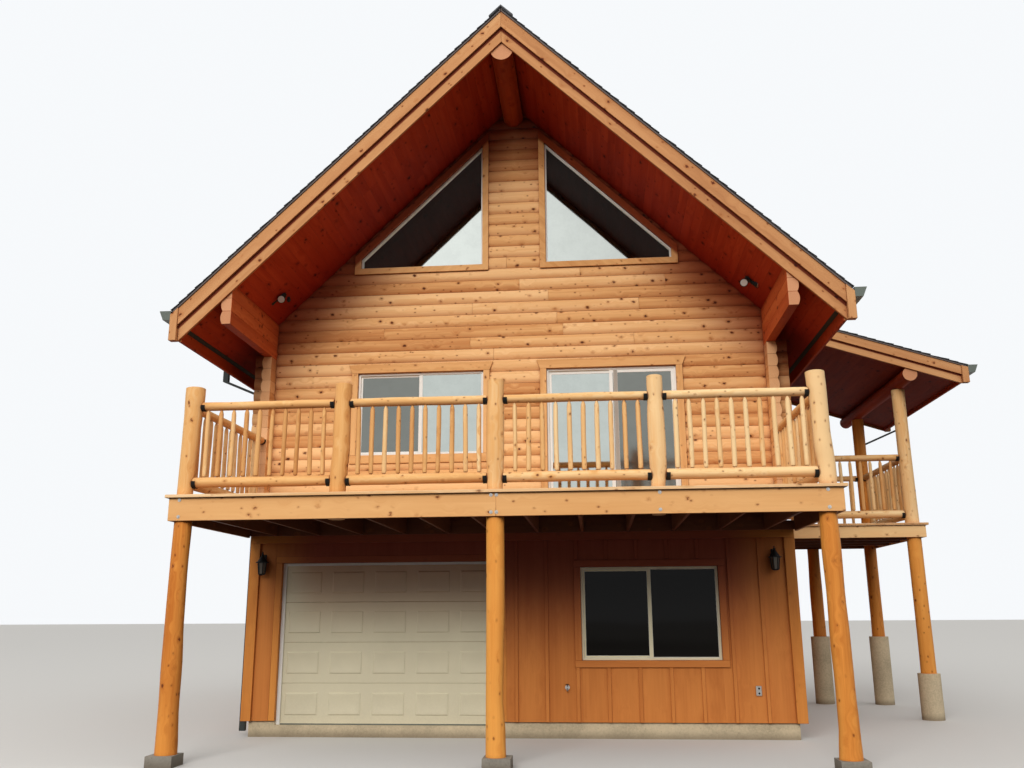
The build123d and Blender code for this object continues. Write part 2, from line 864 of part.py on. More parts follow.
def deck_boards():
    """The decking, with round holes where the rail posts pass."""
    reach = deck_half_length + deck_board_overhang
    front = -deck_depth - deck_board_overhang
    slab = box(-reach, reach, front, -2 * seat_gap, deck_frame_top + seat_gap, deck_level)
    corner = box(side_inner - 5, half_width + 5, -end_log_length - 5, 0, deck_frame_top - 5, deck_level + 5)
    for tool in [corner] + mirrored([corner]):
        slab = slab - tool
    for x in post_positions():
        slab = slab - round_bar((x, post_line, deck_frame_top - 5), (x, post_line, deck_level + 5),
                                post_radius_at(deck_level) + post_hole_clearance)
    return solids_of(slab)


def deck_frame():
    """Ledger, joists and rims below the decking."""
    front = -deck_depth
    ledger_face = -2 * trim_thickness - 4 * seat_gap
    ledger_back = -trim_thickness - 3 * seat_gap
    joist_bottom = deck_frame_top - joist_height
    side = deck_half_length
    inner = side_inner - 5
    low_top = side_log_base - seat_gap
    pieces = [
        box(-side, -butt_gap, front, front + joist_thickness, rim_bottom, deck_frame_top),
        box(butt_gap, side, front, front + joist_thickness, rim_bottom, deck_frame_top),
        slab_along_y([(-side, joist_bottom), (side, joist_bottom), (side, low_top), (inner, low_top),
                      (inner, deck_frame_top), (-inner, deck_frame_top), (-inner, low_top), (-side, low_top)],
                     ledger_face, ledger_back),
    ]
    joist_front = front + joist_thickness + seat_gap
    end_joist = box(side - joist_thickness, side, joist_front, ledger_face - seat_gap, rim_bottom, deck_frame_top)
    pieces += [end_joist] + mirrored([end_joist])
    places = post_positions()
    count = int((2 * side) // joist_spacing)
    start = -(count - 1) / 2 * joist_spacing
    for index in range(count):
        x = start + index * joist_spacing
        near_post = any(abs(x - place) < rail_post_top_radius + joist_thickness for place in places)
        first = post_line + post_radius_at(deck_frame_top) + post_hole_clearance if near_post else joist_front
        pieces.append(box(x - joist_thickness / 2, x + joist_thickness / 2, first, ledger_face - seat_gap,
                          joist_bottom, deck_frame_top))
    return pieces


def bevelled(post):
    """A post with its top edge bevelled."""
    return chamfer(post.edges().group_by(Axis.Z)[-1], post_edge)


def rail_posts():
    posts = []
    for x in post_positions():
        posts.append(bevelled(round_bar((x, post_line, rim_bottom), (x, post_line, rail_post_top),
                                        rail_post_base_radius, rail_post_top_radius)))
    return posts


def deck_posts():
    return [round_bar((x, post_line, post_block_height + seat_gap), (x, post_line, rim_bottom - seat_gap),
                      deck_post_base_radius, deck_post_top_radius) for x in carried_positions()]


def post_blocks():
    half = post_block_size / 2
    return [box(x - half, x + half, post_line - half, post_line + half, 0, post_block_height)
            for x in carried_positions()]


def rail_end(radius_at, level, radius):
    """How far from a post's middle a rail of some radius ends at a level."""
    return max(radius_at(level - radius), radius_at(level + radius)) + seat_gap


def rail_panel(start, end, start_radius_at, end_radius_at):
    """Two round rails with evenly spaced balusters, between the middles of two posts at (x, y) places."""
    run = Vector(end[0] - start[0], end[1] - start[1], 0)
    step = run.normalized()
    origin = Vector(start[0], start[1], 0)
    panel = None
    for level, radius in ((top_rail_level, rail_radius), (lower_rail_level, lower_rail_radius)):
        low = rail_end(start_radius_at, level, radius)
        high = run.length - rail_end(end_radius_at, level, radius)
        first = origin + step * low
        last = origin + step * high
        rail = round_bar((first.X, first.Y, level), (last.X, last.Y, level), radius)
        panel = rail if panel is None else panel + rail
    clear_low = rail_end(start_radius_at, top_rail_level, rail_radius)
    clear = run.length - clear_low - rail_end(end_radius_at, top_rail_level, rail_radius)
    count = max(1, math.floor((clear - 2 * baluster_margin) / baluster_spacing) + 1)
    margin = (clear - (count - 1) * baluster_spacing) / 2
    for index in range(count):
        place = origin + step * (clear_low + margin + index * baluster_spacing)
        panel = panel + round_bar((place.X, place.Y, lower_rail_level), (place.X, place.Y, top_rail_level),
                                  baluster_radius)
    return solids_of(panel)


def no_radius(level):
    """For a rail that ends at a flat wall."""
    return 0


def deck_front_railing():
    places = post_positions()
    pieces = []
    for left, right in zip(places, places[1:]):
        pieces += rail_panel((left, post_line), (right, post_line), post_radius_at, post_radius_at)
    return pieces


def past_the_wall(level):
    """For a rail that is drawn a little past the log ends and then cut off square against them."""
    return -rail_radius / 4


def deck_side_railings():
    """The two railings that run back from the corner posts to the side walls' log ends."""
    x = side_inner + log_thickness / 2
    ends = box(0, deck_half_length, -end_log_length - seat_gap, 0, deck_level, rail_post_top)
    right = []
    for solid in rail_panel((end_post_x, post_line), (x, -end_log_length), post_radius_at, past_the_wall):
        right += solids_of(solid - ends)
    return right + mirrored(right)


# Side porch

def inner_post_y():
    """The post that carries only the deck stands under the middle of the rear rim."""
    return porch_rear - joist_thickness / 2


def porch_post(x, y, base, top):
    return round_bar((x, y, base + seat_gap), (x, y, top - seat_gap), porch_post_radius_at(base + seat_gap),
                     porch_post_radius_at(top - seat_gap))


def porch_posts():
    """Two posts under the porch beam, and one under the deck's rear rim."""
    return [porch_post(porch_post_x, porch_front_post_y, porch_front_pier_top, porch_beam_underside),
            porch_post(porch_post_x, porch_rear_post_y, porch_rear_pier_top, porch_beam_underside),
            porch_post(porch_inner_post_x, inner_post_y(), porch_rear_pier_top, porch_rim_bottom)]


def porch_piers():
    places = ((porch_post_x, porch_front_post_y, porch_front_pier_top),
              (porch_post_x, porch_rear_post_y, porch_rear_pier_top),
              (porch_inner_post_x, inner_post_y(), porch_rear_pier_top))
    return [round_bar((x, y, 0), (x, y, top), porch_pier_radius) for x, y, top in places]


def porch_deck_boards():
    """The porch decking, with round holes where its posts pass."""
    inner = lower_half_width + trim_thickness + 3 * seat_gap
    slab = box(inner, porch_right + deck_board_overhang, porch_front - deck_board_overhang,
               porch_rear + deck_board_overhang, deck_frame_top + seat_gap, deck_level)
    for y in (porch_front_post_y, porch_rear_post_y):
        slab = slab - round_bar((porch_post_x, y, deck_frame_top - 5), (porch_post_x, y, deck_level + 5),
                                porch_post_base_radius + post_hole_clearance)
    return solids_of(slab)


def porch_frame():
    """Rims, ledger and joists of the porch."""
    inner = lower_half_width + trim_thickness + 3 * seat_gap
    thick = joist_thickness
    top = deck_frame_top
    bottom = porch_rim_bottom
    rear_face = porch_rear - thick
    pieces = [
        box(inner, porch_right, porch_front, porch_front + thick, bottom, top),
        box(inner, porch_right, rear_face, porch_rear, bottom, top),
        box(porch_right - thick, porch_right, porch_front + thick + seat_gap, rear_face - seat_gap, bottom, top),
        box(inner, inner + thick, porch_front + thick + seat_gap, rear_face - seat_gap, bottom, top),
    ]
    low = inner + thick + seat_gap
    high = porch_right - thick - seat_gap
    y = porch_front + joist_spacing
    while y < rear_face - joist_spacing / 2:
        pieces.append(box(low, high, y - thick / 2, y + thick / 2, bottom, top))
        y += joist_spacing
    return pieces


def porch_railings():
    """Railings on the porch's front, outer and rear sides."""
    at = porch_post_radius_at
    outer = rail_panel((porch_post_x, porch_front_post_y), (porch_post_x, porch_rear_post_y), at, at)
    front = rail_panel((half_width, porch_front_post_y), (porch_post_x, porch_front_post_y), no_radius, at)
    rear = rail_panel((half_width, porch_rear_post_y), (porch_post_x, porch_rear_post_y), no_radius, at)
    return front + outer + rear


def porch_beam():
    return [round_bar((porch_post_x, porch_roof_front + 2 * barge_thickness + seat_gap, porch_beam_level),
                      (porch_post_x, porch_roof_rear - 2 * barge_thickness - seat_gap, porch_beam_level),
                      porch_beam_radius)]


def porch_layer(low, high, outer, y_low, y_high):
    """A layer of the porch roof, from the main roof's shingles out to a line over the eave."""
    drop = seat_gap / slope_cos

    def meets(offset):
        level = porch_soffit_at(0) + offset
        x = (shingle_apex + drop - level) / (roof_slope - porch_roof_slope)
        return (x, level - porch_roof_slope * x)

    outline = [(outer, porch_soffit_at(outer) + low), meets(low), meets(high),
               (outer, porch_soffit_at(outer) + high)]
    return slab_along_y(outline, y_low, y_high)


def porch_roof():
    front = porch_roof_front + 2 * barge_thickness + seat_gap
    rear = porch_roof_rear - 2 * barge_thickness - seat_gap
    return [porch_layer(0, porch_roof_thickness / porch_cos, porch_eave, front, rear)]


def porch_shingles():
    low = (porch_roof_thickness + seat_gap) / porch_cos
    high = low + shingle_thickness / porch_cos
    return [porch_layer(low, high, porch_eave + fascia_thickness,
                        porch_roof_front - shingle_overhang, porch_roof_rear + shingle_overhang)]


def porch_barge_boards():
    """Stepped barge boards on both ends of the porch roof, and its eave fascia."""
    outer = porch_eave - butt_gap
    top = porch_roof_thickness / porch_cos
    middle = (porch_roof_thickness - porch_barge_upper_width) / porch_cos
    low = -porch_barge_drop / porch_cos
    step = barge_thickness + seat_gap / 2
    pieces = [
        porch_layer(middle, top, outer, porch_roof_front, porch_roof_front + barge_thickness),
        porch_layer(low, top, outer, porch_roof_front + step, porch_roof_front + step + barge_thickness),
        porch_layer(low, top, outer, porch_roof_rear - step - barge_thickness, porch_roof_rear - step),
        porch_layer(middle, top, outer, porch_roof_rear - barge_thickness, porch_roof_rear),
    ]
    bottom = porch_soffit_at(porch_eave) - porch_barge_drop
    return pieces + eave_fascia(porch_eave, porch_top_at, porch_soffit_at, bottom, bottom + porch_fascia_step,
                                porch_roof_front, porch_roof_rear)


# Lights

def wall_lights():
    """Two lanterns on the lower wall and two floodlights under the front overhang."""
    half = lantern_width / 2
    lantern = box(lantern_x - half, lantern_x + half, -seat_gap - lantern_width, -seat_gap,
                  lantern_level - lantern_height / 2, lantern_level + lantern_height / 2)
    level = soffit_at(floodlight_x) - floodlight_radius / slope_cos - seat_gap * 2
    lamp = round_bar((floodlight_x, -floodlight_reach, level), (floodlight_x, -floodlight_reach + 120, level),
                     floodlight_radius)
    return [lantern, lamp] + mirrored([lantern, lamp])


def all_nodes():
    """Every sub-part by name."""
    frames, glass = windows()
    return {
        "foundation_walls": foundation_walls(),
        "garage_floor": garage_floor(),
        "lower_front_wall": framed_wall("front", -lower_half_width, lower_half_width),
        "lower_rear_wall": framed_wall("rear", -lower_half_width, lower_half_width),
        "lower_side_walls": lower_side_wall("left") + lower_side_wall("right"),
        "lower_trim": lower_trim(),
        "garage_door": garage_door(),
        "garage_door_frame": garage_door_frame(),
        "main_floor": main_floor(),
        "front_log_wall": gable_wall("front"),
        "rear_log_wall": gable_wall("rear"),
        "left_log_wall": side_wall("left"),
        "right_log_wall": side_wall("right"),
        "window_and_door_frames": frames,
        "window_glass": glass,
        "window_trim": window_trim(),
        "ridge_log": ridge_log(),
        "roof_left": mirrored([roof_half()]),
        "roof_right": [roof_half()],
        "shingles_left": mirrored([shingle_half()]),
        "shingles_right": [shingle_half()],
        "ridge_cap": [ridge_cap_half()] + mirrored([ridge_cap_half()]),
        "front_barge_boards": front_barge_boards(),
        "rear_barge_boards": rear_barge_boards(),
        "eave_fascias": eave_fascias(),
        "gutters": gutters(),
        "downspouts": downspouts(),
        "deck_boards": deck_boards(),
        "deck_frame": deck_frame(),
        "deck_posts": deck_posts(),
        "rail_posts": rail_posts(),
        "post_blocks": post_blocks(),
        "deck_front_railing": deck_front_railing(),
        "deck_side_railings": deck_side_railings(),
        "porch_deck_boards": porch_deck_boards(),
        "porch_frame": porch_frame(),
        "porch_posts": porch_posts(),
        "porch_piers": porch_piers(),
        "porch_railings": porch_railings(),
        "porch_beam": porch_beam(),
        "porch_roof": porch_roof(),
        "porch_shingles": porch_shingles(),
        "porch_barge_boards": porch_barge_boards(),
        "wall_lights": wall_lights(),
    }


def write_parts():
    """Move every piece to the shared origin and write one file for each sub-part."""
    nodes = all_nodes()
    boxes = [piece.bounding_box() for pieces in nodes.values() for piece in pieces]
    centre_x = (min(b.min.X for b in boxes) + max(b.max.X for b in boxes)) / 2
    centre_y = (min(b.min.Y for b in boxes) + max(b.max.Y for b in boxes)) / 2
    print("origin in house coordinates", round(centre_x, 3), round(centre_y, 3))
    os.makedirs("parts", exist_ok=True)
    for name, pieces in nodes.items():
        moved = [Pos(-centre_x, -centre_y, 0) * piece for piece in pieces]
        export_step(Compound(moved), "parts/" + name + ".step")


write_parts()
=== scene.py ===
import math
import random

import bmesh
import bpy
from mathutils import Matrix, Vector


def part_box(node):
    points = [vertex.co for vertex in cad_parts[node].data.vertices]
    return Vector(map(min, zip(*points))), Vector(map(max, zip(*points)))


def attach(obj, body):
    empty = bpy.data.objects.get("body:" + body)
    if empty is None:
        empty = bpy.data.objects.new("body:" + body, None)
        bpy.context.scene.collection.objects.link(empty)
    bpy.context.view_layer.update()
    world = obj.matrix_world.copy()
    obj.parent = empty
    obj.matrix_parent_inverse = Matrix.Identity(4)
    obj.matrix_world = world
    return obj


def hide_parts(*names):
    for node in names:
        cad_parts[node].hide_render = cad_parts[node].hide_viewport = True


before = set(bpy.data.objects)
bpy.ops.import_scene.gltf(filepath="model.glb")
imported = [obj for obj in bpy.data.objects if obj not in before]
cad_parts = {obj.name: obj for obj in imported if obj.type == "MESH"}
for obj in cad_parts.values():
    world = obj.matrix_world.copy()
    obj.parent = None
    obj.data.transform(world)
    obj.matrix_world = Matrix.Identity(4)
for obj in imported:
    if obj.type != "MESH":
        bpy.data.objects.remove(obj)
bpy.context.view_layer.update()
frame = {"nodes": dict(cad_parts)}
nodes = frame["nodes"]

# House coordinates: X from the ridge line, Y from the front wall's face, Z from the ground
OX = (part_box("ridge_log")[0].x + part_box("ridge_log")[1].x) / 2
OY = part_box("front_log_wall")[0].y
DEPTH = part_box("rear_log_wall")[1].y - OY
GROUND = 0.0
FLOOR = 0.15                      # garage door's foot above the ground
HALF = 3.658                      # side walls' outer faces
SLOPE = 0.975
SOFFIT = 9.195                    # apex of the roof's underside
CS = math.cos(math.atan(SLOPE))
POST_LINE = -2.433                # middle of the deck's posts
UP = Vector((0, 0, 1))

WIN_W = 1.829                     # every window's and patio door's width
SIDE_OUT = 0.027                  # the side walls' siding stands out from the logs above it
PAIR = 1.367                      # upper windows of both gable walls, from the ridge line
SIDE_PAIR = (DEPTH / 2 - 2.4, DEPTH / 2 + 2.4)
LOW_WINDOWS = {"front": [1.784], "rear": [0.0], "left": SIDE_PAIR, "right": SIDE_PAIR[1:]}

rng = random.Random(11)
M = {}                            # materials by their short names


def H(x, y, z):
    """A place in house coordinates."""
    return Vector((x + OX, y + OY, z))


KEY = H(-5, -29, 17)              # the lamp's place


# Nodes of materials and of the world
class Value:
    """What a node gives. Python's operators on it make Math nodes."""

    def __init__(self, nodes, socket):
        self.nodes = nodes
        self.socket = socket

    def __add__(self, other):
        return self.nodes.math("ADD", self, other)

    def __sub__(self, other):
        return self.nodes.math("SUBTRACT", self, other)

    def __rsub__(self, other):
        return self.nodes.math("SUBTRACT", other, self)

    def __mul__(self, other):
        return self.nodes.math("MULTIPLY", self, other)

    def __truediv__(self, other):
        return self.nodes.math("DIVIDE", self, other)


class Nodes:
    """Makes and wires the nodes of one tree."""

    def __init__(self, tree):
        self.tree = tree

    def put(self, socket, value):
        if isinstance(value, Value):
            self.tree.links.new(value.socket, socket)
        elif socket.type == "RGBA":
            socket.default_value = (*value, 1)
        else:
            socket.default_value = value

    def node(self, kind, output, inputs=None, **settings):
        """The named output of a new node with these inputs and settings."""
        made = self.tree.nodes.new("ShaderNode" + kind)
        for key, value in settings.items():
            setattr(made, key, value)
        for key, value in (inputs or {}).items():
            self.put(made.inputs[key], value)
        return Value(self, made.outputs[output])

    def math(self, operation, a, b=0.0):
        return self.node("Math", 0, {0: a, 1: b}, operation=operation)

    def scale(self, vector, factors):
        return self.node("VectorMath", 0, {0: vector, 1: factors}, operation="MULTIPLY")

    def shift(self, vector, way):
        return self.node("VectorMath", 0, {0: vector, 1: way}, operation="ADD")

    def xyz(self, vector):
        split = self.node("SeparateXYZ", 0, {0: vector}).socket.node
        return [Value(self, socket) for socket in split.outputs]

    def vector(self, x, y, z):
        return self.node("CombineXYZ", 0, {0: x, 1: y, 2: z})

    def noise(self, vector, scale=1.0, detail=3.0, rough=0.55, distort=0.0):
        inputs = {"Vector": vector, "Scale": scale, "Detail": detail, "Roughness": rough,
                  "Distortion": distort}
        return self.node("TexNoise", "Fac", inputs)

    def cells(self, vector, scale):
        """Distance from the middles of scattered cells, and a random colour for each cell."""
        made = self.node("TexVoronoi", "Distance", {"Vector": vector, "Scale": scale})
        return made, Value(self, made.socket.node.outputs["Color"])

    def chance(self, vector):
        """One random number for each place."""
        return self.node("TexWhiteNoise", "Value", {"Vector": vector}, noise_dimensions="3D")

    def ramp(self, value, stops):
        colours = self.node("ValToRGB", "Color", {0: value})
        elements = colours.socket.node.color_ramp.elements
        while len(elements) < len(stops):
            elements.new(0.5)
        for element, (position, colour) in zip(elements, stops):
            element.position = position
            element.color = (*colour, 1)
        return colours

    def range(self, value, start, end, low=0.0, high=1.0, smooth=True):
        inputs = {"Value": value, "From Min": start, "From Max": end, "To Min": low, "To Max": high}
        kind = "SMOOTHSTEP" if smooth else "LINEAR"
        return self.node("MapRange", "Result", inputs, interpolation_type=kind)

    def mix(self, amount, a, b, blend="MIX"):
        inputs = {"Factor": amount, "A": a, "B": b}
        return self.node("Mix", "Result", inputs, data_type="RGBA", blend_type=blend)

    def tinted(self, amount, colour, by):
        """The colour multiplied by another one, where amount is 1."""
        return self.mix(amount, colour, by, "MULTIPLY")

    def coordinates(self, kind="Object"):
        return self.node("TexCoord", kind)

    def ray(self, kind):
        return self.node("LightPath", kind)

    def seen(self):
        """1 for what the camera sees, itself or in glass and metal."""
        return self.math("MAXIMUM", self.ray("Is Camera Ray"), self.ray("Is Glossy Ray"))


class Shader(Nodes):
    """One material, with the grain and tone that its pieces' points carry."""

    def __init__(self, name):
        self.material = bpy.data.materials.new(name)
        self.material.use_nodes = True
        super().__init__(self.material.node_tree)
        self.bsdf = self.tree.nodes["Principled BSDF"]
        self.grain = self.node("Attribute", "Vector", attribute_name="grain")
        self.tone = self.node("Attribute", "Fac", attribute_name="tone")

    def bump(self, height, strength, distance):
        return self.node("Bump", 0, {"Strength": strength, "Distance": distance, "Height": height})

    def crevice(self):
        """1 in the open, towards 0 in joints and under ledges."""
        return self.node("AmbientOcclusion", "AO", {"Distance": 0.11}, samples=4)

    def place(self):
        """The house's own x, y and z of a place."""
        return self.xyz(self.coordinates())

    def aside(self, x):
        """Distance from the ridge line."""
        return self.math("ABSOLUTE", x - OX)

    def done(self, colour, rough, **sockets):
        sockets.update({"Base Color": colour, "Roughness": rough})
        for key, value in sockets.items():
            self.put(self.bsdf.inputs[key.replace("_", " ")], value)
        return self.material


# Camera, light and floor
def set_camera():
    """The photograph's own camera, solved from its straight edges and corners."""
    yaw, pitch, roll = (math.radians(degrees) for degrees in (-5.0999, 13.9729, -0.3301))
    focal_px, image_px, sensor_mm = 921.93, 1024, 36
    sy, cy, sp, cp = math.sin(yaw), math.cos(yaw), math.sin(pitch), math.cos(pitch)
    right = Vector((cy, -sy, 0))
    forward = Vector((sy * cp, cy * cp, sp))
    up = Vector((-sy * sp, -cy * sp, cp))
    c, s = math.cos(roll), math.sin(roll)
    right, up = c * right + s * up, -s * right + c * up
    pose = Matrix((right, up, -forward)).transposed().to_4x4()
    pose.translation = H(1.0951, -12.7315, FLOOR + 1.4359)
    camera = bpy.data.objects.new("photo_camera", bpy.data.cameras.new("photo_camera"))
    camera.data.sensor_width = sensor_mm
    camera.data.lens = focal_px / image_px * sensor_mm
    camera.data.clip_end = 400
    camera.matrix_world = pose
    bpy.context.scene.collection.objects.link(camera)
    bpy.context.scene.camera = camera


def set_world():
    """A pale world: diffuse light comes mostly from above and from the front, little from the horizon."""
    world = bpy.data.worlds.new("studio")
    bpy.context.scene.world = world
    world.use_nodes = True
    world.node_tree.nodes.clear()
    w = Nodes(world.node_tree)
    _, front, height = w.xyz(w.coordinates("Generated"))
    levels = [(0.0, 0.02), (0.09, 0.15), (0.20, 0.80), (0.38, 1.10), (0.62, 0.82), (1.0, 0.55)]
    sky = w.ramp(height, [(position, (v, v * 0.985, v * 0.96)) for position, v in levels])
    strength = w.range(front, -1.0, 1.0, 1.35, 0.75, smooth=False)
    light = w.node("Background", 0, {"Color": sky, "Strength": strength})
    backdrop = w.node("Background", 0, {"Color": (0.93, 0.95, 0.97), "Strength": 1.0})
    output = world.node_tree.nodes.new("ShaderNodeOutputWorld")
    w.put(output.inputs["Surface"], w.node("MixShader", 0, {0: w.seen(), 1: light, 2: backdrop}))


def set_lamp():
    lamp = bpy.data.lights.new("key", "AREA")
    lamp.shape = "DISK"
    lamp.size = 16
    lamp.energy = 6100
    lamp.color = (1.0, 0.98, 0.95)
    obj = bpy.data.objects.new("key", lamp)
    obj.location = KEY
    obj.rotation_euler = (H(0, 0, 4) - KEY).to_track_quat("-Z", "Y").to_euler()
    obj.visible_glossy = False        # panes show the pale world, not the lamp
    bpy.context.scene.collection.objects.link(obj)


def set_floor():
    """A pale floor, less pale close to the lamp, where it would clip to white."""
    mesh = bpy.data.meshes.new("floor")
    far = 160
    corners = [(x * far, y * far, GROUND) for x, y in ((-1, -1), (1, -1), (1, 1), (-1, 1))]
    mesh.from_pydata(corners, [], [(0, 1, 2, 3)])
    obj = bpy.data.objects.new("floor", mesh)
    bpy.context.scene.collection.objects.link(obj)
    s = Shader("floor")
    inputs = {0: s.coordinates(), 1: (KEY.x, KEY.y, GROUND)}
    away = s.node("VectorMath", "Value", inputs, operation="DISTANCE")
    pale = s.mix(s.range(away, 8.0, 24.0), (0.13, 0.128, 0.124), (0.66, 0.65, 0.63))
    dim = (0.030, 0.022, 0.015)       # what lights the house from below
    mesh.materials.append(s.done(s.mix(s.seen(), dim, pale), 0.9))


# Wood
PLANK = 0.14                          # width, gap and least length of the soffit's boards
PLANK_GAP = 0.002
PLANK_LENGTH = 3.7
# tints of painted shade in joints and crevices, and on faces that look down
JOINT_SHADE = (0.36, 0.13, 0.08)
UNDERSIDE_SHADE = (0.50, 0.24, 0.15)
# painted shadow along a lower barge board's top, below the upper board
REVEAL_SHADOW = (0.26, 0.09, 0.07)
# painted light on the soffit near the roof's open ends
OPEN_END_LIGHT = (1.25, 1.25, 1.25)         # the soffit near the roof's open ends
PANE_BLACK = (0.004, 0.003, 0.003)


def tint(colour, k):
    return tuple(min(1.0, v * k) for v in colour)


def under_deck(s):
    """How far a place on the front wall lies in the deck's shade, which fades at the open corners."""
    x, y, z = s.place()
    high = s.range(z, 0.7, 2.6)
    front = s.range(y, OY + 0.12, OY + 0.5, 1.0, 0.0)
    return high * front * s.range(s.aside(x), 2.7, 3.6, 1.0, 0.0)


def planked(s):
    """Grain, tone and grooves of boards that are laid side by side, with their ends staggered."""
    def rim(share):
        return s.math("MINIMUM", share, 1.0 - share)

    along, across, third = s.xyz(s.grain)
    count = across / PLANK
    index = s.math("FLOOR", count)
    run = s.chance(s.vector(index, 0.5, 0.5)) * 9.0 + along / PLANK_LENGTH
    tone = s.chance(s.vector(index, s.math("FLOOR", run), 0.3))
    sides = s.range(rim(s.math("FRACT", count)), 0.0, PLANK_GAP / PLANK, 1.0, 0.0)
    ends = s.range(rim(s.math("FRACT", run)), 0.0, 0.0008, 1.0, 0.0)
    grain = s.vector(along + tone * 31.0, across, third + tone * 17.0)
    return grain, tone, s.math("MAXIMUM", sides, ends)


def wood(name, light, base, dark, knot=(0.10, 0.016, 0.004), halo=(0.42, 0.13, 0.03), knots=1.0,
         knot_size=0.115, knot_width=0.115, streak=1.0, vary=0.25, planks=False, shine=0.25, mirrored=1.0,
         joints=0.6, undersides=0.7, deck_shade=None, roof_shade=None, reveal_shadow=False, inward=None):
    """Wood whose grain runs along the piece's own first grain coordinate.

    knots is the share of the knots that show, and vary how much one solid's tone differs from the next.
    mirrored is how bright it looks in a pane: a real pane shows shaded wood far darker than the sky.
    joints is how much painted shade darkens joints and crevices, and undersides how much painted shade
    darkens faces that look down.
    sheltered is its painted shade high on the wall under the deck, roof_shade a painted shade with the drops
    below the soffit at which it is full and gone, reveal the painted shadow along a lower barge board's top
    below the upper one, and inward a tint of the soffit, painted light near the roof's open ends and painted
    shade towards the gable walls.
    """
    s = Shader(name)
    g, tone, groove = planked(s) if planks else (s.grain, s.tone, None)
    big = s.cells(s.scale(g, (0.75, 1.0, 1.0)), 1.0 / knot_size)
    small = s.cells(s.scale(s.shift(g, (3.1, 7.7, 5.3)), (0.7, 1.0, 1.0)), 1.0 / (knot_size * 0.47))
    bend = s.range(big[0], 0.05, 0.55, 1.0, 0.0) * 0.40

    def streaks(along, across, bent, detail, rough, distort):
        """Noise drawn out along the grain, which bends round the big knots."""
        drawn = s.shift(s.scale(g, (along, across, across)), s.vector(0, bend * bent, 0))
        return s.noise(drawn, 1.0, detail, rough, distort)

    broad = streaks(0.55, 5.5, 1, 3, 0.5, 0.3)
    fine = streaks(2.2, 75, 9, 4, 0.6, 0.2)
    lines = streaks(0.5, 26, 4, 2, 0.5, 0.4)
    v = broad * 0.55 + lines * (0.3 * streak) + fine * 0.15 + (tone - 0.5) * vary
    colour = s.ramp(v, [(0.28, dark), (0.5, base), (0.72, light)])
    height = fine * 0.35 + lines * 0.65

    ragged = (s.noise(s.scale(g, (28, 45, 45)), 1.0, 3, 0.7) - 0.5) * 0.28
    core = 0.0
    for (middle, pick), share, width, strength in ((big, 0.40, knot_width, 1.0), (small, 0.62, 0.16, 0.75)):
        distance = middle + ragged
        shown = s.range(s.xyz(pick)[0], share, share + 0.02, 0.0, knots * strength)
        ring = s.range(distance, width * 0.8, width * 2.0, 1.0, 0.0)
        spot = s.range(distance, width * 0.55, width, 1.0, 0.0)
        colour = s.mix(ring * (shown * 0.45), colour, halo)
        colour = s.mix(spot * (shown * 0.92), colour, knot)
        core = s.math("MAXIMUM", core, spot)
    height = height - core * 0.4
    if planks:
        colour = s.mix(groove * 0.85, colour, tint(dark, 0.25))
        height = height - groove * 3.0

    # painted shade in joints and under ledges, from ambient occlusion
    colour = s.tinted(s.range(s.crevice(), 0.30, 0.85, joints, 0.0), colour, JOINT_SHADE)
    # painted shade on faces that look down
    if undersides:
        facing = s.xyz(s.node("NewGeometry", "Normal"))[2]
        colour = s.tinted(s.range(facing, -0.75, 0.05, undersides, 0.0), colour, UNDERSIDE_SHADE)
    # painted shade of the deck high on the front wall
    if deck_shade:
        colour = s.tinted(under_deck(s), colour, deck_shade)
    # painted shade below the soffit, full just under it and gone further down
    if roof_shade:
        shade, full, gone = roof_shade
        x, _, z = s.place()
        drop = SOFFIT - s.aside(x) * SLOPE - z
        colour = s.tinted(s.range(drop, full, gone, 1.0, 0.0), colour, shade)
    # the soffit painted lighter near the roof's open ends and darker deeper in: painted light and shade
    if inward:
        out = s.math("ABSOLUTE", s.place()[1] - (OY + DEPTH / 2))
        deep = s.range(out, DEPTH / 2, DEPTH / 2 + 1.7, 1.0, 0.0)
        colour = s.tinted(1.0, colour, s.mix(deep, OPEN_END_LIGHT, inward))
    # painted shadow of the upper barge board along the lower board's top edge
    if reveal_shadow:
        colour = s.tinted(s.range(s.xyz(s.grain)[1], -0.054, -0.038), colour, REVEAL_SHADOW)
    if mirrored < 1.0:
        colour = s.mix(s.ray("Is Glossy Ray") * (1.0 - mirrored), colour, PANE_BLACK)
    rough = (fine - 0.5) * 0.18 + 0.6
    return s.done(colour, rough, Normal=s.bump(height, 0.35, 0.004), Specular_IOR_Level=shine)


def end_grain(name, light, dark):
    """Sawn log ends with growth rings round a heart."""
    s = Shader(name)
    _, y, z = s.xyz(s.grain)
    from_heart = s.math("SQRT", s.math("POWER", y, 2.0) + s.math("POWER", z, 2.0))
    rings = s.math("SINE", (from_heart + s.noise(s.grain, 7) * 0.02) * 900.0)
    v = rings * 0.12 + (s.noise(s.grain, 120) * 0.4 + 0.3) + (s.tone - 0.5) * 0.25
    return s.done(s.ramp(v, [(0.25, dark), (0.7, light)]), 0.7, Normal=s.bump(v, 0.4, 0.003))


# Other materials
SPLASH = (0.24, 0.18, 0.12)           # dirt thrown up from the ground
DAMP = (0.12, 0.085, 0.055)


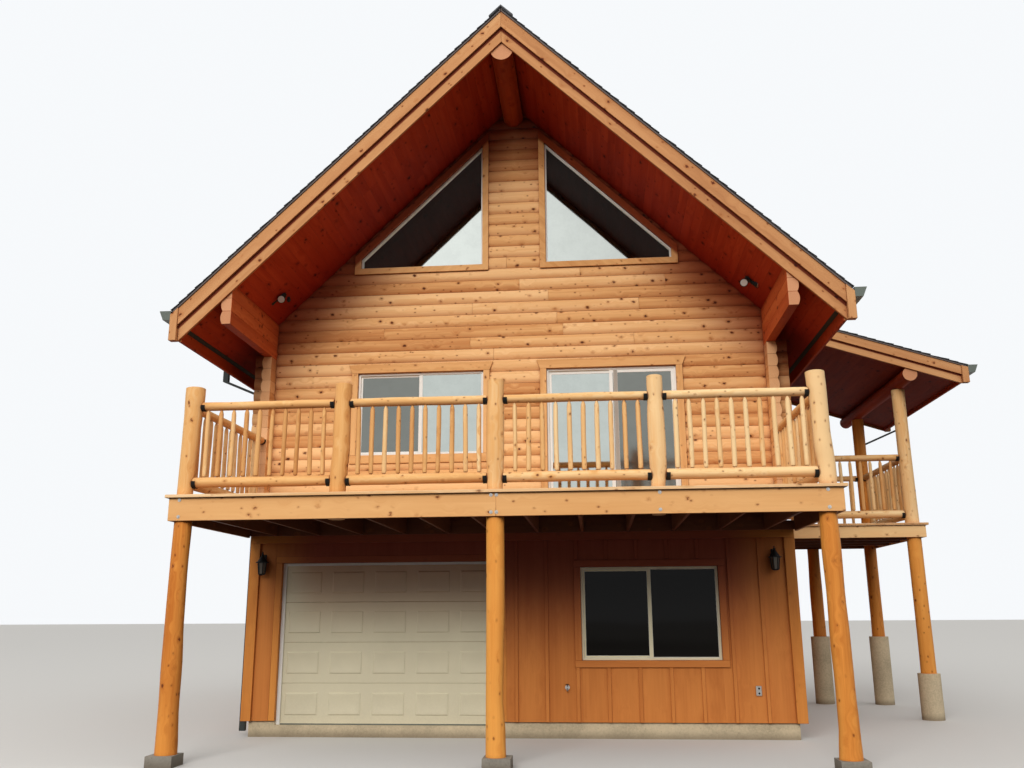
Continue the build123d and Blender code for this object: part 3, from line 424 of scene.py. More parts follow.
def painted(name, colour, rough, vary, dirt=0.0, metallic=0.0, shine=0.5, deck_shade=None):
    """Paint, vinyl or metal, a little uneven, with dirt on its lowest metre and, where sheltered is given,
    painted shade high under the deck.
    """
    s = Shader(name)
    coordinates = s.coordinates()
    fine = s.noise(coordinates, 45)
    patches = s.range(s.noise(coordinates, 1.7, 5, 0.6), 0.3, 0.7)
    mixed = s.mix(patches, tint(colour, 1 + vary), tint(colour, 1 - vary))
    if dirt:
        low = s.range(s.xyz(coordinates)[2], 0.0, 0.9, 1.0, 0.0)
        mixed = s.mix(low * fine * dirt, mixed, SPLASH)
    # painted shade of the deck high on the front wall
    if deck_shade:
        mixed = s.tinted(s.range(under_deck(s), 0.15, 1.0), mixed, deck_shade)
    uneven = (fine - 0.5) * 0.15 + rough
    normal = s.bump(fine, 0.15, 0.002)
    return s.done(mixed, uneven, Normal=normal, Metallic=metallic, Specular_IOR_Level=shine)


def concrete(name, colour):
    """Cast concrete with pits, and a damp foot."""
    s = Shader(name)
    coordinates = s.coordinates()
    v = s.noise(coordinates, 1.6, 6, 0.65) * 0.6 + s.noise(coordinates, 38, 5, 0.7) * 0.4
    pits = s.range(s.cells(coordinates, 26)[0], 0.08, 0.2, 1.0, 0.0)
    mixed = s.ramp(v, [(0.3, tint(colour, 0.62)), (0.5, colour), (0.7, tint(colour, 1.25))])
    foot = s.range(s.xyz(coordinates)[2], 0.0, 0.12, 1.0, 0.0)
    mixed = s.mix(foot * 0.55, mixed, DAMP)
    mixed = s.mix(pits * 0.35, mixed, tint(colour, 0.35))
    return s.done(mixed, 0.92, Normal=s.bump(v - pits * 0.5, 0.6, 0.01))


def shingle_material(name):
    """Dark mineral grit, with a tone for each shingle and slow patches over the roof."""
    s = Shader(name)
    coordinates = s.coordinates()
    grit = s.noise(coordinates, 260, 4, 0.8)
    v = s.tone * 0.45 + grit * 0.35 + s.noise(coordinates, 1.2, 4, 0.6) * 0.3
    greys = [(0.25, (0.022, 0.023, 0.026)), (0.55, (0.055, 0.056, 0.060)), (0.85, (0.13, 0.13, 0.135))]
    return s.done(s.ramp(v, greys), 0.9, Normal=s.bump(grit, 0.6, 0.004))


def glazing(name, colour, rough=0.015, mirror=True, lean=0.0):
    """A tinted mirror where it shows the sky, or nearly black where it is shaded.

    lean paints the left panes of the front brighter than the right ones: a painted reflection of the
    brighter sky before them.
    """
    s = Shader(name)
    coordinates = s.coordinates()
    wave = s.noise(coordinates, 0.9, 2, 0.5)
    smear = s.noise(coordinates, 3.0, 5, 0.7)
    mixed = s.mix(s.range(smear, 0.35, 0.65), colour, tint(colour, 0.94))
    if lean:
        side = s.range(s.xyz(coordinates)[0], OX - 2.0, OX + 2.0)
        mixed = s.tinted(1.0, mixed, s.mix(side, (1 + lean,) * 3, (1 - lean,) * 3))
    metallic, shine = (1.0, 0.5) if mirror else (0.0, 0.12)
    return s.done(mixed, smear * 0.03 + rough, Normal=s.bump(wave, 0.05, 0.02), Metallic=metallic,
                  Specular_IOR_Level=shine)


def make_woods():
    """Every wood, with its light, middle and dark colour; low on the house the woods are darker and redder,
    partly their stain and partly painted shade.
    """
    honey = (0.90, 0.55, 0.260), (0.775, 0.415, 0.165), (0.58, 0.25, 0.085)
    # the top log courses are painted darker and redder below the soffit: painted shade
    M["log"] = wood("log_wood", *honey, knot=(0.07, 0.010, 0.004), knot_size=0.14, knot_width=0.15,
                    vary=0.38, streak=1.35, joints=0.80, undersides=0.60,
                    roof_shade=((0.36, 0.15, 0.13), 0.02, 1.45))
    # the log wood painted darker and redder, for the courses and ridge log under the roof: painted shade
    M["outlooker"] = wood("outlooker_wood", (0.60, 0.150, 0.042), (0.48, 0.092, 0.025), (0.32, 0.048, 0.014),
                          knot=(0.06, 0.008, 0.003), halo=(0.2, 0.03, 0.01), knot_size=0.15, knot_width=0.15,
                          vary=0.2, shine=0.1, mirrored=0.1)
    M["post"] = wood("post_wood", (0.90, 0.60, 0.30), (0.81, 0.425, 0.15), (0.64, 0.27, 0.072),
                     knot_size=0.15, vary=0.5, streak=1.3)
    # the post wood painted darker and redder, for posts below the decks and in the porch's shade: painted
    # shade
    M["lower_post"] = wood("lower_post_wood", (0.85, 0.37, 0.076), (0.74, 0.28, 0.050), (0.54, 0.16, 0.022),
                           knot=(0.13, 0.02, 0.004), halo=(0.36, 0.09, 0.015), knot_size=0.16, streak=1.2)
    M["rail"] = wood("rail_wood", (0.90, 0.64, 0.34), (0.79, 0.44, 0.17), (0.60, 0.27, 0.085), knots=0.9,
                     knot_size=0.12, vary=0.5, undersides=0.35)
    M["board"] = wood("deck_board_wood", (0.92, 0.72, 0.45), (0.88, 0.60, 0.34), (0.72, 0.42, 0.19),
                      knots=0.7, knot_size=0.2, vary=0.3, joints=0.2, undersides=0.0)
    M["rim"] = wood("rim_wood", (0.86, 0.51, 0.22), (0.80, 0.44, 0.178), (0.71, 0.35, 0.125), knots=0.9,
                    knot_size=0.17, vary=0.08, streak=0.5)
    M["porch_rim"] = wood("porch_rim_wood", (0.96, 0.69, 0.36), (0.93, 0.62, 0.30), (0.85, 0.50, 0.22),
                          knots=0.9, knot_size=0.17, vary=0.1, streak=0.5)
    barge = dict(light=(0.65, 0.34, 0.148), base=(0.56, 0.26, 0.104), dark=(0.42, 0.174, 0.065),
                 knot_size=0.16, knot_width=0.14, vary=0.15, joints=0.9, mirrored=0.1)
    M["barge"] = wood("barge_wood", **barge)
    M["barge_lower"] = wood("lower_barge_wood", **barge, reveal_shadow=True)
    # the rake casings are painted dark red next to the soffit: painted shade
    M["casing"] = wood("casing_wood", (0.82, 0.47, 0.20), (0.73, 0.385, 0.15), (0.58, 0.26, 0.085),
                       knots=0.8, knot_size=0.15, vary=0.2, undersides=0.3,
                       roof_shade=((0.40, 0.15, 0.12), 0.19, 0.27))
    shade = (0.48, 0.28, 0.65)            # the deck's shade on the wall below it
    M["trim"] = wood("trim_wood", (0.84, 0.35, 0.080), (0.76, 0.29, 0.060), (0.61, 0.20, 0.040), knots=0.2,
                     knot_size=0.22, vary=0.12, streak=0.5, deck_shade=shade)
    M["siding"] = wood("siding_wood", (0.74, 0.27, 0.064), (0.66, 0.225, 0.052), (0.54, 0.165, 0.036),
                       knots=0.0, knot_size=0.3, vary=0.1, streak=0.7, deck_shade=shade)
    # the wood under the decks, painted near black: painted shade
    M["joist"] = wood("joist_wood", (0.19, 0.065, 0.025), (0.14, 0.042, 0.016), (0.09, 0.024, 0.009),
                      knots=0.6, knot_size=0.2, vary=0.35)
    boards = dict(knot_size=0.2, knot_width=0.15, vary=0.08, planks=True, shine=0.05, joints=0.4,
                  undersides=0.0)
    # the soffit woods are painted far darker and redder than the walls' wood: painted shade
    M["soffit"] = wood("soffit_wood", (0.40, 0.054, 0.018), (0.31, 0.034, 0.012), (0.21, 0.019, 0.007),
                       knot=(0.045, 0.005, 0.003), halo=(0.12, 0.014, 0.006), mirrored=0.06,
                       inward=(0.80, 0.56, 0.80), **boards)
    M["porch_soffit"] = wood("porch_soffit_wood", (0.28, 0.038, 0.014), (0.22, 0.024, 0.009),
                             (0.14, 0.013, 0.005), knot=(0.035, 0.004, 0.003), halo=(0.09, 0.010, 0.005),
                             mirrored=0.1, **boards)
    M["soffit_plain"] = wood("soffit_beam_wood", (0.42, 0.066, 0.020), (0.34, 0.044, 0.014),
                             (0.22, 0.024, 0.008), knot=(0.05, 0.006, 0.003), halo=(0.14, 0.018, 0.007),
                             knots=0.8, knot_size=0.18,
                             vary=0.2, shine=0.05, mirrored=0.1, undersides=0.0)
    # end grain painted darker, for log ends under the roof: painted shade
    M["outlooker_end"] = end_grain("outlooker_end_grain", (0.68, 0.33, 0.17), (0.50, 0.20, 0.09))
    M["log_end"] = end_grain("log_end_grain", (0.82, 0.47, 0.24), (0.58, 0.27, 0.11))
    M["end"] = end_grain("board_end_grain", (0.68, 0.38, 0.17), (0.48, 0.23, 0.09))


def make_others():
    M["concrete"] = concrete("rough_concrete", (0.62, 0.50, 0.33))
    M["block"] = concrete("block_concrete", (0.27, 0.245, 0.205))
    # the garage door is painted darker high up under the deck: painted shade
    M["door"] = painted("door_paint", (0.74, 0.665, 0.47), 0.4, 0.03, dirt=0.25,
                        deck_shade=(0.70, 0.45, 0.36))
    M["vinyl"] = painted("white_vinyl", (0.82, 0.80, 0.75), 0.35, 0.03, dirt=0.05)
    M["screen_frame"] = painted("screen_frame_paint", (0.36, 0.31, 0.26), 0.5, 0.05)
    M["almond"] = painted("almond_vinyl", (0.80, 0.72, 0.49), 0.35, 0.03, dirt=0.05)
    # the downspouts are painted near black, darker than the gutters' metal: painted shade
    M["downspout"] = painted("shaded_downspout_paint", (0.030, 0.036, 0.032), 0.4, 0.08)
    M["gutter"] = painted("gutter_paint", (0.12, 0.14, 0.12), 0.4, 0.08, dirt=0.2)
    M["drip"] = painted("drip_edge_metal", (0.13, 0.10, 0.09), 0.6, 0.05, shine=0.2)
    M["black"] = painted("black_iron", (0.010, 0.0095, 0.009), 0.6, 0.1, shine=0.2)
    M["bolt"] = painted("galvanised_bolt", (0.62, 0.62, 0.60), 0.35, 0.1, metallic=0.8)
    M["lantern_glass"] = painted("lantern_glass", (0.14, 0.11, 0.08), 0.15, 0.1)
    M["lamp"] = painted("lamp_glass", (0.62, 0.60, 0.55), 0.15, 0.02)
    M["felt"] = painted("roof_felt", (0.03, 0.03, 0.032), 0.9, 0.2)
    M["inside"] = painted("dark_interior", (0.02, 0.018, 0.016), 0.9, 0.2)
    M["shingle"] = shingle_material("charcoal_shingle")
    M["glass"] = glazing("reflecting_glass", (0.58, 0.615, 0.57))
    M["glass_gable"] = glazing("gable_glass", (0.76, 0.79, 0.73), lean=0.15)
    M["glass_grey"] = glazing("screened_glass", (0.235, 0.24, 0.215), 0.10)
    M["glass_dark"] = glazing("shaded_glass", (0.008, 0.007, 0.006), 0.03, mirror=False)


# Geometry
class Piece:
    """Collects solids into one object, each with its own grain direction and tone.

    A solid takes the first of the piece's materials, or the one that it names.
    """

    def __init__(self, name, materials):
        self.name = name
        self.bm = bmesh.new()
        self.grain = self.bm.verts.layers.float_vector.new("grain")
        self.tone = self.bm.verts.layers.float.new("tone")
        self.materials = materials

    def paint(self, faces, material):
        for f in faces:
            f.material_index = self.materials.index(material)

    def mark(self, verts, along, centre=None, tone=None, up=None):
        """Store the grain coordinates of a solid's vertices."""
        along = Vector(along).normalized()
        side = Vector(up) if up else (UP if abs(along.z) < 0.9 else Vector((0, 1, 0)))
        side = (side - side.dot(along) * along).normalized()
        third = along.cross(side)
        centre = Vector(centre) if centre is not None else sum((v.co for v in verts), Vector()) / len(verts)
        shift = rng.uniform(-40, 40)
        tone = rng.random() if tone is None else tone
        for v in verts:
            d = v.co - centre
            v[self.grain] = (d.dot(along) + shift, d.dot(side), d.dot(third))
            v[self.tone] = tone

    def paint_ends(self, faces, along, material):
        """The cut ends, which face along the grain, show the end grain."""
        for f in faces:
            f.normal_update()
        self.paint([f for f in faces if abs(f.normal.dot(along)) > 0.85], material)

    def loft(self, rings, material=None, caps=None):
        """A closed solid between rings of points. Returns its vertices and faces."""
        rows = [[self.bm.verts.new(point) for point in ring] for ring in rings]
        n = len(rows[0])
        around = [self.bm.faces.new((a[k], a[(k + 1) % n], b[(k + 1) % n], b[k]))
                  for a, b in zip(rows, rows[1:]) for k in range(n)]
        ends = [self.bm.faces.new(rows[0][::-1]), self.bm.faces.new(rows[-1])]
        material = material or self.materials[0]
        self.paint(around, material)
        self.paint(ends, caps or material)
        return [v for row in rows for v in row], around + ends

    def box(self, low, high, along=None, material=None, ends=None, bevel=0.0):
        """A box with eased edges, whose grain runs along its longest side unless told otherwise."""
        low, high = Vector(low), Vector(high)
        corners = ((low.x, low.y), (high.x, low.y), (high.x, high.y), (low.x, high.y))
        verts, faces = self.loft([[(x, y, z) for x, y in corners] for z in (low.z, high.z)], material)
        if along is None:
            longest = max(range(3), key=lambda i: high[i] - low[i])
            along = [1 if i == longest else 0 for i in range(3)]
        if ends:
            self.paint_ends(faces, Vector(along), ends)
        if bevel:
            edges = list({e for f in faces for e in f.edges})
            eased = bmesh.ops.bevel(self.bm, geom=edges, offset=bevel, segments=1, affect="EDGES",
                                    offset_type="OFFSET", profile=0.5, clamp_overlap=True)
            verts = list({v for v in verts if v.is_valid} | set(eased["verts"]))
        self.mark(verts, along)

    def prism(self, outline, run, along=None, material=None):
        """A polygon pushed along a vector."""
        verts, _ = self.loft([outline, [Vector(point) + Vector(run) for point in outline]], material)
        self.mark(verts, along or run)

    def lathe(self, start, end, radii, material=None, caps=None, sides=20, wobble=0.0, tone=None, seed=None):
        """A round log: radii is a list of a share of the length, a radius and perhaps a sideways shift."""
        start, end = Vector(start), Vector(end)
        axis = end - start
        length = axis.length
        axis.normalize()
        side = Vector((1, 0, 0)) if abs(axis.x) < 0.9 else Vector((0, 1, 0))
        u = (side - side.dot(axis) * axis).normalized()
        w = axis.cross(u)
        r = random.Random(seed if seed is not None else rng.random())
        phase = [r.uniform(0, 6.28) for _ in range(4)]
        rings = []
        for share, radius, *shift in radii:
            sway = wobble * (1 if 0 < share < 1 else 0.4)
            cx = sway * math.sin(share * 5 + phase[0]) + sum(shift)
            cy = sway * math.sin(share * 7 + phase[1])
            uneven = wobble / max(radius, 0.02)
            middle = start + axis * (share * length)
            ring = []
            for k in range(sides):
                a = 2 * math.pi * k / sides
                oval = 0.45 * math.sin(2 * a + phase[2] + share * 3)
                lobed = 0.3 * math.sin(3 * a + phase[3] - share * 4)
                rr = radius * (1 + uneven * (oval + lobed))
                ring.append(middle + u * (cx + rr * math.cos(a)) + w * (cy + rr * math.sin(a)))
            rings.append(ring)
        verts, _ = self.loft(rings, material, caps)
        self.mark(verts, axis, centre=start, tone=tone, up=u)

    def rod(self, start, end, r0, r1, **how):
        self.lathe(start, end, [(0, r0), (1, r1)], **how)

    def build(self, slot, replaces=(), angle=38, smooth=True):
        """The finished object, whose edges sharper than the angle stay sharp."""
        self.bm.normal_update()
        bmesh.ops.recalc_face_normals(self.bm, faces=self.bm.faces)
        mesh = bpy.data.meshes.new(self.name)
        self.bm.to_mesh(mesh)
        self.bm.free()
        for name in self.materials:
            mesh.materials.append(M[name])
        if smooth:
            mesh.polygons.foreach_set("use_smooth", [True] * len(mesh.polygons))
            mesh.set_sharp_from_angle(angle=math.radians(angle))
        obj = bpy.data.objects.new(self.name, mesh)
        bpy.context.scene.collection.objects.link(obj)
        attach(obj, "root")
        if replaces:
            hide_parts(*replaces)
        return obj


def cad_mesh(node):
    """A CAD node's mesh, with its flat faces whole again."""
    bm = bmesh.new()
    bm.from_mesh(nodes[node].data)
    bmesh.ops.remove_doubles(bm, verts=bm.verts, dist=2e-5)
    bmesh.ops.dissolve_limit(bm, angle_limit=math.radians(0.8), verts=bm.verts, edges=bm.edges)
    return bm


def solids(bm):
    """Separate solids of a mesh, as lists of faces."""
    seen = set()
    for first in bm.faces:
        if first in seen:
            continue
        stack, group = [first], []
        seen.add(first)
        while stack:
            face = stack.pop()
            group.append(face)
            for near in (g for v in face.verts for g in v.link_faces):
                if near not in seen:
                    seen.add(near)
                    stack.append(near)
        yield group


def span_of(group, axis):
    """The lowest and highest places of a solid along an axis."""
    places = [v.co.dot(axis) for f in group for v in f.verts]
    return min(places), max(places)


def cut_out(group, axis, low, high, bevel):
    """A copy of a solid between two places on an axis, a hairline short of each, with eased edges."""
    hairline, square = 0.0012, math.radians(50)
    part = bmesh.new()
    copies = {v: part.verts.new(v.co) for v in {v for f in group for v in f.verts}}
    for f in group:
        part.faces.new([copies[v] for v in f.verts])
    for place, sign in ((low, 1), (high, -1)):
        if place is None:
            continue
        bmesh.ops.bisect_plane(part, geom=part.verts[:] + part.edges[:] + part.faces[:], clear_outer=True,
                               plane_co=axis * (place + sign * hairline), plane_no=axis * -sign)
        bmesh.ops.holes_fill(part, edges=[e for e in part.edges if e.is_boundary], sides=0)
    bmesh.ops.recalc_face_normals(part, faces=part.faces)
    edges = [e for e in part.edges if len(e.link_faces) == 2 and e.calc_face_angle(0.0) > square]
    if bevel and edges:
        bmesh.ops.bevel(part, geom=edges, offset=bevel, segments=1, affect="EDGES", offset_type="OFFSET",
                        clamp_overlap=True)
    part.verts.index_update()
    return part


def dress(name, node, materials, slot, bevel=0.003, along=None, cuts=None, up=None, angle=38, choose=None):
    """A finished copy of a CAD node: every solid gets its own grain, tone and eased edges.

    cuts gives the places at which a solid is cut into lengths. choose gives the materials of a length's
    faces and of its ends from its middle; otherwise they are the first two.
    """
    source = cad_mesh(node)
    piece = Piece(name, materials)
    for group in list(solids(source)):
        if along is None:
            edge = max((e for f in group for e in f.edges), key=lambda e: e.calc_length())
            axis = (edge.verts[1].co - edge.verts[0].co).normalized()
        else:
            axis = Vector(along)
        marks = [None, *(cuts(*span_of(group, axis)) if cuts else ()), None]
        for low, high in zip(marks, marks[1:]):
            part = cut_out(group, axis, low, high, bevel)
            if not part.faces:
                part.free()
                continue
            made = [piece.bm.verts.new(v.co) for v in part.verts]
            faces = []
            for f in part.faces:
                corners = [made[v.index] for v in f.verts]
                if piece.bm.faces.get(corners) is None:      # a bevel can leave a face twice
                    faces.append(piece.bm.faces.new(corners))
            part.free()
            middle = sum((v.co for v in made), Vector()) / len(made)
            sides, ends = choose(middle) if choose else materials[:2]
            piece.paint(faces, sides)
            piece.paint_ends(faces, axis, ends)
            piece.mark(made, axis, up=up)
    source.free()
    return piece.build(slot, (node,), angle)


def put(node, material):
    """Give a CAD node that stays a better material."""
    mesh = nodes[node].data
    mesh.materials.clear()
    mesh.materials.append(M[material])


# Log walls
def log_cuts(low, high):
    """Places of the joints in one course of logs."""
    shortest, longest, at_wall = 1.6, 4.2, 0.06
    outlooker = low < OY - 1          # a top course that runs out under the roof, cut at both gable walls
    if outlooker:
        low, high = OY + at_wall, OY + DEPTH - at_wall
    joints = []
    at = low + rng.uniform(0.9, longest)
    while at < high - 0.8:
        joints.append(at)
        at += rng.uniform(shortest, longest)
    return [low, *joints, high] if outlooker else joints


def log_walls():
    def choose(c):
        outside = c.y < OY - 0.3 or c.y > OY + DEPTH + 0.3
        return ("outlooker", "outlooker_end") if outside else ("log", "log_end")

    across, back = (1, 0, 0), (0, 1, 0)
    for side, along in (("front", across), ("rear", across), ("left", back), ("right", back)):
        node = side + "_log_wall"
        dress(node + "_logs", node, ["log", "log_end", "outlooker", "outlooker_end"], "log", bevel=0.0025,
              along=along, cuts=log_cuts, angle=30, choose=choose)
    # the ridge log and porch beam take woods painted dark for the shade under the roofs
    for node, bark in (("ridge_log", "outlooker"), ("porch_beam", "soffit_plain")):
        dress(node + "_round", node, [bark, "outlooker_end"], "log", bevel=0.0, along=back, angle=30)


# Garage storey
def wall_point(side, u, out, z):
    """A place on a wall, from its u along the wall, its distance out of it and its level."""
    if side == "front":
        return H(u, -out, z)
    if side == "rear":
        return H(-u, DEPTH + out, z)
    if side == "left":
        return H(-HALF - out, u, z)
    return H(HALF + out, u, z)


def wall_box(piece, side, us, outs, zs, **how):
    """A box on a wall, from its spans along the wall, out of it and up."""
    a, b = (wall_point(side, *place) for place in zip(us, outs, zs))
    low, high = zip(*(sorted(pair) for pair in zip(a, b)))
    piece.box(low, high, **how)


def lower_storey():
    for node in ("lower_front_wall", "lower_rear_wall", "lower_side_walls"):
        dress(node + "_siding", node, ["siding"], "siding", bevel=0.0, along=UP,
              choose=lambda c: ("siding", "siding"))
    dress("lower_trim_boards", "lower_trim", ["trim", "end"], "trim")
    dress("garage_door_jambs", "garage_door_frame", ["trim", "end"], "trim")
    for node, material in (("foundation_walls", "concrete"), ("garage_floor", "concrete"),
                           ("porch_piers", "concrete"), ("post_blocks", "block"), ("main_floor", "inside")):
        put(node, material)
    battens()


def battens():
    """Battens over the siding, which stop below and above the windows."""
    p = Piece("siding_battens", ["siding"])
    width, thick, pitch = 0.045, 0.018, 0.406
    bottom, top = 0.204, 2.549
    sill, head, clear = 0.89, 2.29, 1.01      # outer edges of the windows' casings
    to_side = [0.18 + pitch * k for k in range(1, 23)]
    places = {"front": [pitch * k for k in range(0, 9)], "rear": [pitch * k for k in range(-8, 9)],
              "left": to_side, "right": to_side}
    for side, windows in LOW_WINDOWS.items():
        face = SIDE_OUT if side in ("left", "right") else 0.0
        for u in places[side]:
            cut = any(abs(u - middle) < clear for middle in windows)
            across, out = (u - width / 2, u + width / 2), (face + 0.0003, face + thick)
            for up in ((bottom, sill), (head, top)) if cut else ((bottom, top),):
                wall_box(p, side, across, out, up, bevel=0.002)
    p.build("trim")


def garage_door():
    p = Piece("garage_door_panels", ["door", "gutter", "vinyl"])
    x0, x1 = -3.2675, -0.2205
    y = 0.080                                 # the sections' faces
    height, rows, cols, margin = 2.134, 4, 5, 0.03
    section = height / rows
    pitch = (x1 - x0 - 2 * margin) / cols
    half_w, half_h = pitch / 2 - 0.075, 0.145
    # inset and depth of the moulding, which is sunk round a raised field
    moulding = [(0.0, 0.0062), (0.014, -0.0022), (0.028, -0.0022), (0.056, 0.0045)]
    for row in range(rows):
        z0 = FLOOR + 0.0008 + row * section
        z1 = z0 + section - 0.0022
        p.box(H(x0, y + 0.006, z0), H(x1, y + 0.045, z1), along=(1, 0, 0), bevel=0.004)
        for col in range(cols):
            cx, cz = x0 + margin + pitch * (col + 0.5), (z0 + z1) / 2
            rings = [[H(cx + sx * (half_w - inset), y + depth, cz + sz * (half_h - inset))
                      for sx, sz in ((-1, -1), (1, -1), (1, 1), (-1, 1))] for inset, depth in moulding]
            p.mark(p.loft(rings)[0], (1, 0, 0))
    # the seal along the foot, and the stops round the door
    stop, front, back = 0.055, y - 0.014, y + 0.002
    p.box(H(x0, y + 0.004, FLOOR), H(x1, y + 0.05, FLOOR + 0.018), material="gutter")
    for x in (x0, x1 - stop):
        p.box(H(x, front, FLOOR), H(x + stop, back, FLOOR + 2.13), bevel=0.003, material="vinyl")
    p.box(H(x0 + stop, front, FLOOR + 2.092), H(x1 - stop, back, FLOOR + 2.132), bevel=0.003,
          material="vinyl")
    p.build("door_panel", ("garage_door",), angle=25)


# Windows
def sliding_window(frames, glass, side, centre, sill, height, panes, out=0.0, door=False, vinyl="vinyl"):
    """A frame with a sliding and a fixed light; a door has two framed leaves and a screen's stile."""
    fit, width, meeting, thick = 0.001, 0.030, 0.052, 0.020
    u0, u1 = centre - WIN_W / 2 + fit, centre + WIN_W / 2 - fit
    z0, z1 = sill + fit, sill + height - fit
    low, high = z0 + width, z1 - width
    face = out - 0.030                        # the frame's outer face

    def bar(a, b, front, back, bottom, top, material=vinyl):
        wall_box(frames, side, (a, b), (front, back), (bottom, top), bevel=0.003, material=material)

    bar(u0, u0 + width, face, face - 0.075, z0, z1)
    bar(u1 - width, u1, face, face - 0.075, z0, z1)
    bar(u0 + width, u1 - width, face, face - 0.075, z0, low)
    bar(u0 + width, u1 - width, face, face - 0.075, high, z1)
    # each light's span, setback, rail and stiles; the first one slides behind the other's plane
    slides = (u0 + width, centre + meeting / 2, 0.034, 0.026)
    fixed = (centre - meeting / 2, u1 - width, 0.012, 0.008)
    for k, (a, b, setback, edge) in enumerate((slides, fixed)):
        rail, outer = (0.045, 0.040) if door else (edge, edge)
        left, right = (outer, meeting) if k == 0 else (meeting, outer)
        f = face - setback
        bar(a, a + left, f, f - thick, low, high)
        bar(b - right, b, f, f - thick, low, high)
        bar(a + left, b - right, f, f - thick, low, low + rail)
        bar(a + left, b - right, f, f - thick, high - rail, high)
        lap = 0.004
        wall_box(glass, side, (a + left - lap, b - right + lap), (f - 0.006, f - 0.016),
                 (low + rail - lap, high - rail + lap), material=panes[k])
    if door:
        bar(centre + 0.034, centre + 0.092, face - 0.002, face - 0.010, low, high, "screen_frame")


def gable_window(frames, glass, hand):
    """A fixed light under the roof's slope, with a frame in two steps."""
    inner, sill, head = 0.47, 6.60, 8.536

    def corners(grow):
        a, b = inner + grow, inner + WIN_W - grow
        top = head - grow / CS
        return [(hand * a, sill + grow), (hand * b, sill + grow), (hand * b, top - SLOPE * (b - inner)),
                (hand * a, top - SLOPE * grow)]

    for outer, inside, y0, y1 in ((0.001, 0.017, 0.030, 0.100), (0.017, 0.025, 0.040, 0.095)):
        o, i = corners(outer), corners(inside)
        for k in range(4):
            n = (k + 1) % 4
            frames.prism([H(x, y0, z) for x, z in (o[k], o[n], i[n], i[k])], (0, y1 - y0, 0),
                         along=(o[n][0] - o[k][0], 0, o[n][1] - o[k][1]))
    glass.prism([H(x, 0.062, z) for x, z in corners(0.023)], (0, 0.014, 0), along=(1, 0, 0),
                material="glass_gable")


def windows():
    frames = Piece("vinyl_frames", ["vinyl", "almond", "screen_frame"])
    glass = Piece("window_panes", ["glass", "glass_dark", "glass_grey", "glass_gable"])
    for side, middles in LOW_WINDOWS.items():
        for middle in middles:
            out = SIDE_OUT if side in ("left", "right") else 0.0
            sliding_window(frames, glass, side, middle, 0.978, 1.21, ("glass_dark", "glass_dark"), out,
                           vinyl="almond")
    upper = dict(sill=3.776, height=1.204, panes=("glass_grey", "glass"))
    door = dict(sill=2.966, height=2.014, panes=("glass", "glass_grey"), door=True)
    near, far = SIDE_PAIR
    for side, middle, kind in (("front", -PAIR, upper), ("front", PAIR, door), ("rear", -PAIR, upper),
                               ("rear", PAIR, upper), ("left", near, upper), ("left", far, upper),
                               ("right", 3.64, door), ("right", far, upper)):
        sliding_window(frames, glass, side, middle, **kind)
    for hand in (-1, 1):
        gable_window(frames, glass, hand)
    frames.build("white_frame", ("window_and_door_frames",), angle=30)
    glass.build("glass", ("window_glass",), smooth=False)
    dress("window_casings", "window_trim", ["casing", "end", "siding"], "trim",
          choose=lambda c: ("siding" if c.z < 2.6 else "casing", "end"))


# Roof
def slope_ways(hand, slope=SLOPE):
    """The ways down a slope and square to it."""
    c = math.cos(math.atan(slope))
    return Vector((hand * c, 0, -slope * c)), Vector((hand * slope * c, 0, c))


def roof():
    for hand, side in ((-1, "left"), (1, "right")):
        down, normal = slope_ways(hand)
        dress("roof_" + side + "_boards", "roof_" + side, ["soffit", "soffit_plain"], "roof_boards",
              bevel=0.0, along=(0, 1, 0), up=down)
        node = "shingles_" + side
        low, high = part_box(node)
        length = max(abs(low.x - OX), abs(high.x - OX)) / CS
        shingle_layer(node + "_courses", node, (Vector((OX, 0, high.z)), down, normal), length,
                      y_margin=0.012, bottom=(0.001, 0.002), top=(0.001, 0.002), strip=0.01, short=0.001)
    dress("porch_roof_boards", "porch_roof", ["porch_soffit", "soffit_plain"], "roof_boards", bevel=0.0,
          along=(0, 1, 0), up=(3, 0, -1))
    barge_boards()
    eave_gap_shadows()
    put("gutters", "gutter")
    put("downspouts", "downspout")


def barge_boards():
    """Barge boards in two steps, the lower one set back, and the boards along the eaves."""
    front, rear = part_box("front_barge_boards")[0].y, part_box("rear_barge_boards")[1].y
    low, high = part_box("porch_roof")
    step = 0.045

    def porch(c):
        """The thin board under the eave is painted dark, as painted shade; the lower barge boards lie behind
        the upper ones.
        """
        if c.x > high.x - 0.05:
            return ("soffit_plain" if c.x < high.x else "barge"), "end"
        return ("barge_lower" if low.y - 0.04 < c.y < high.y + 0.04 else "barge"), "end"

    def eave(c):
        """The thin boards under the main eaves are painted dark, as painted shade."""
        thin = 4.10 < abs(c.x - OX) < 4.19 and c.z > 4.5
        return ("soffit_plain" if thin else "barge"), "barge"

    pair = ["barge", "end", "barge_lower"]
    dress("front_barge_pair", "front_barge_boards", pair, "barge",
          choose=lambda c: ("barge_lower" if c.y > front + step else "barge", "end"))
    dress("rear_barge_pair", "rear_barge_boards", pair, "barge",
          choose=lambda c: ("barge_lower" if c.y < rear - step else "barge", "end"))
    dress("porch_barge_set", "porch_barge_boards", pair + ["soffit_plain"], "barge", choose=porch)
    dress("eave_fascia_boards", "eave_fascias", ["barge", "soffit_plain"], "barge", bevel=0.004, choose=eave)


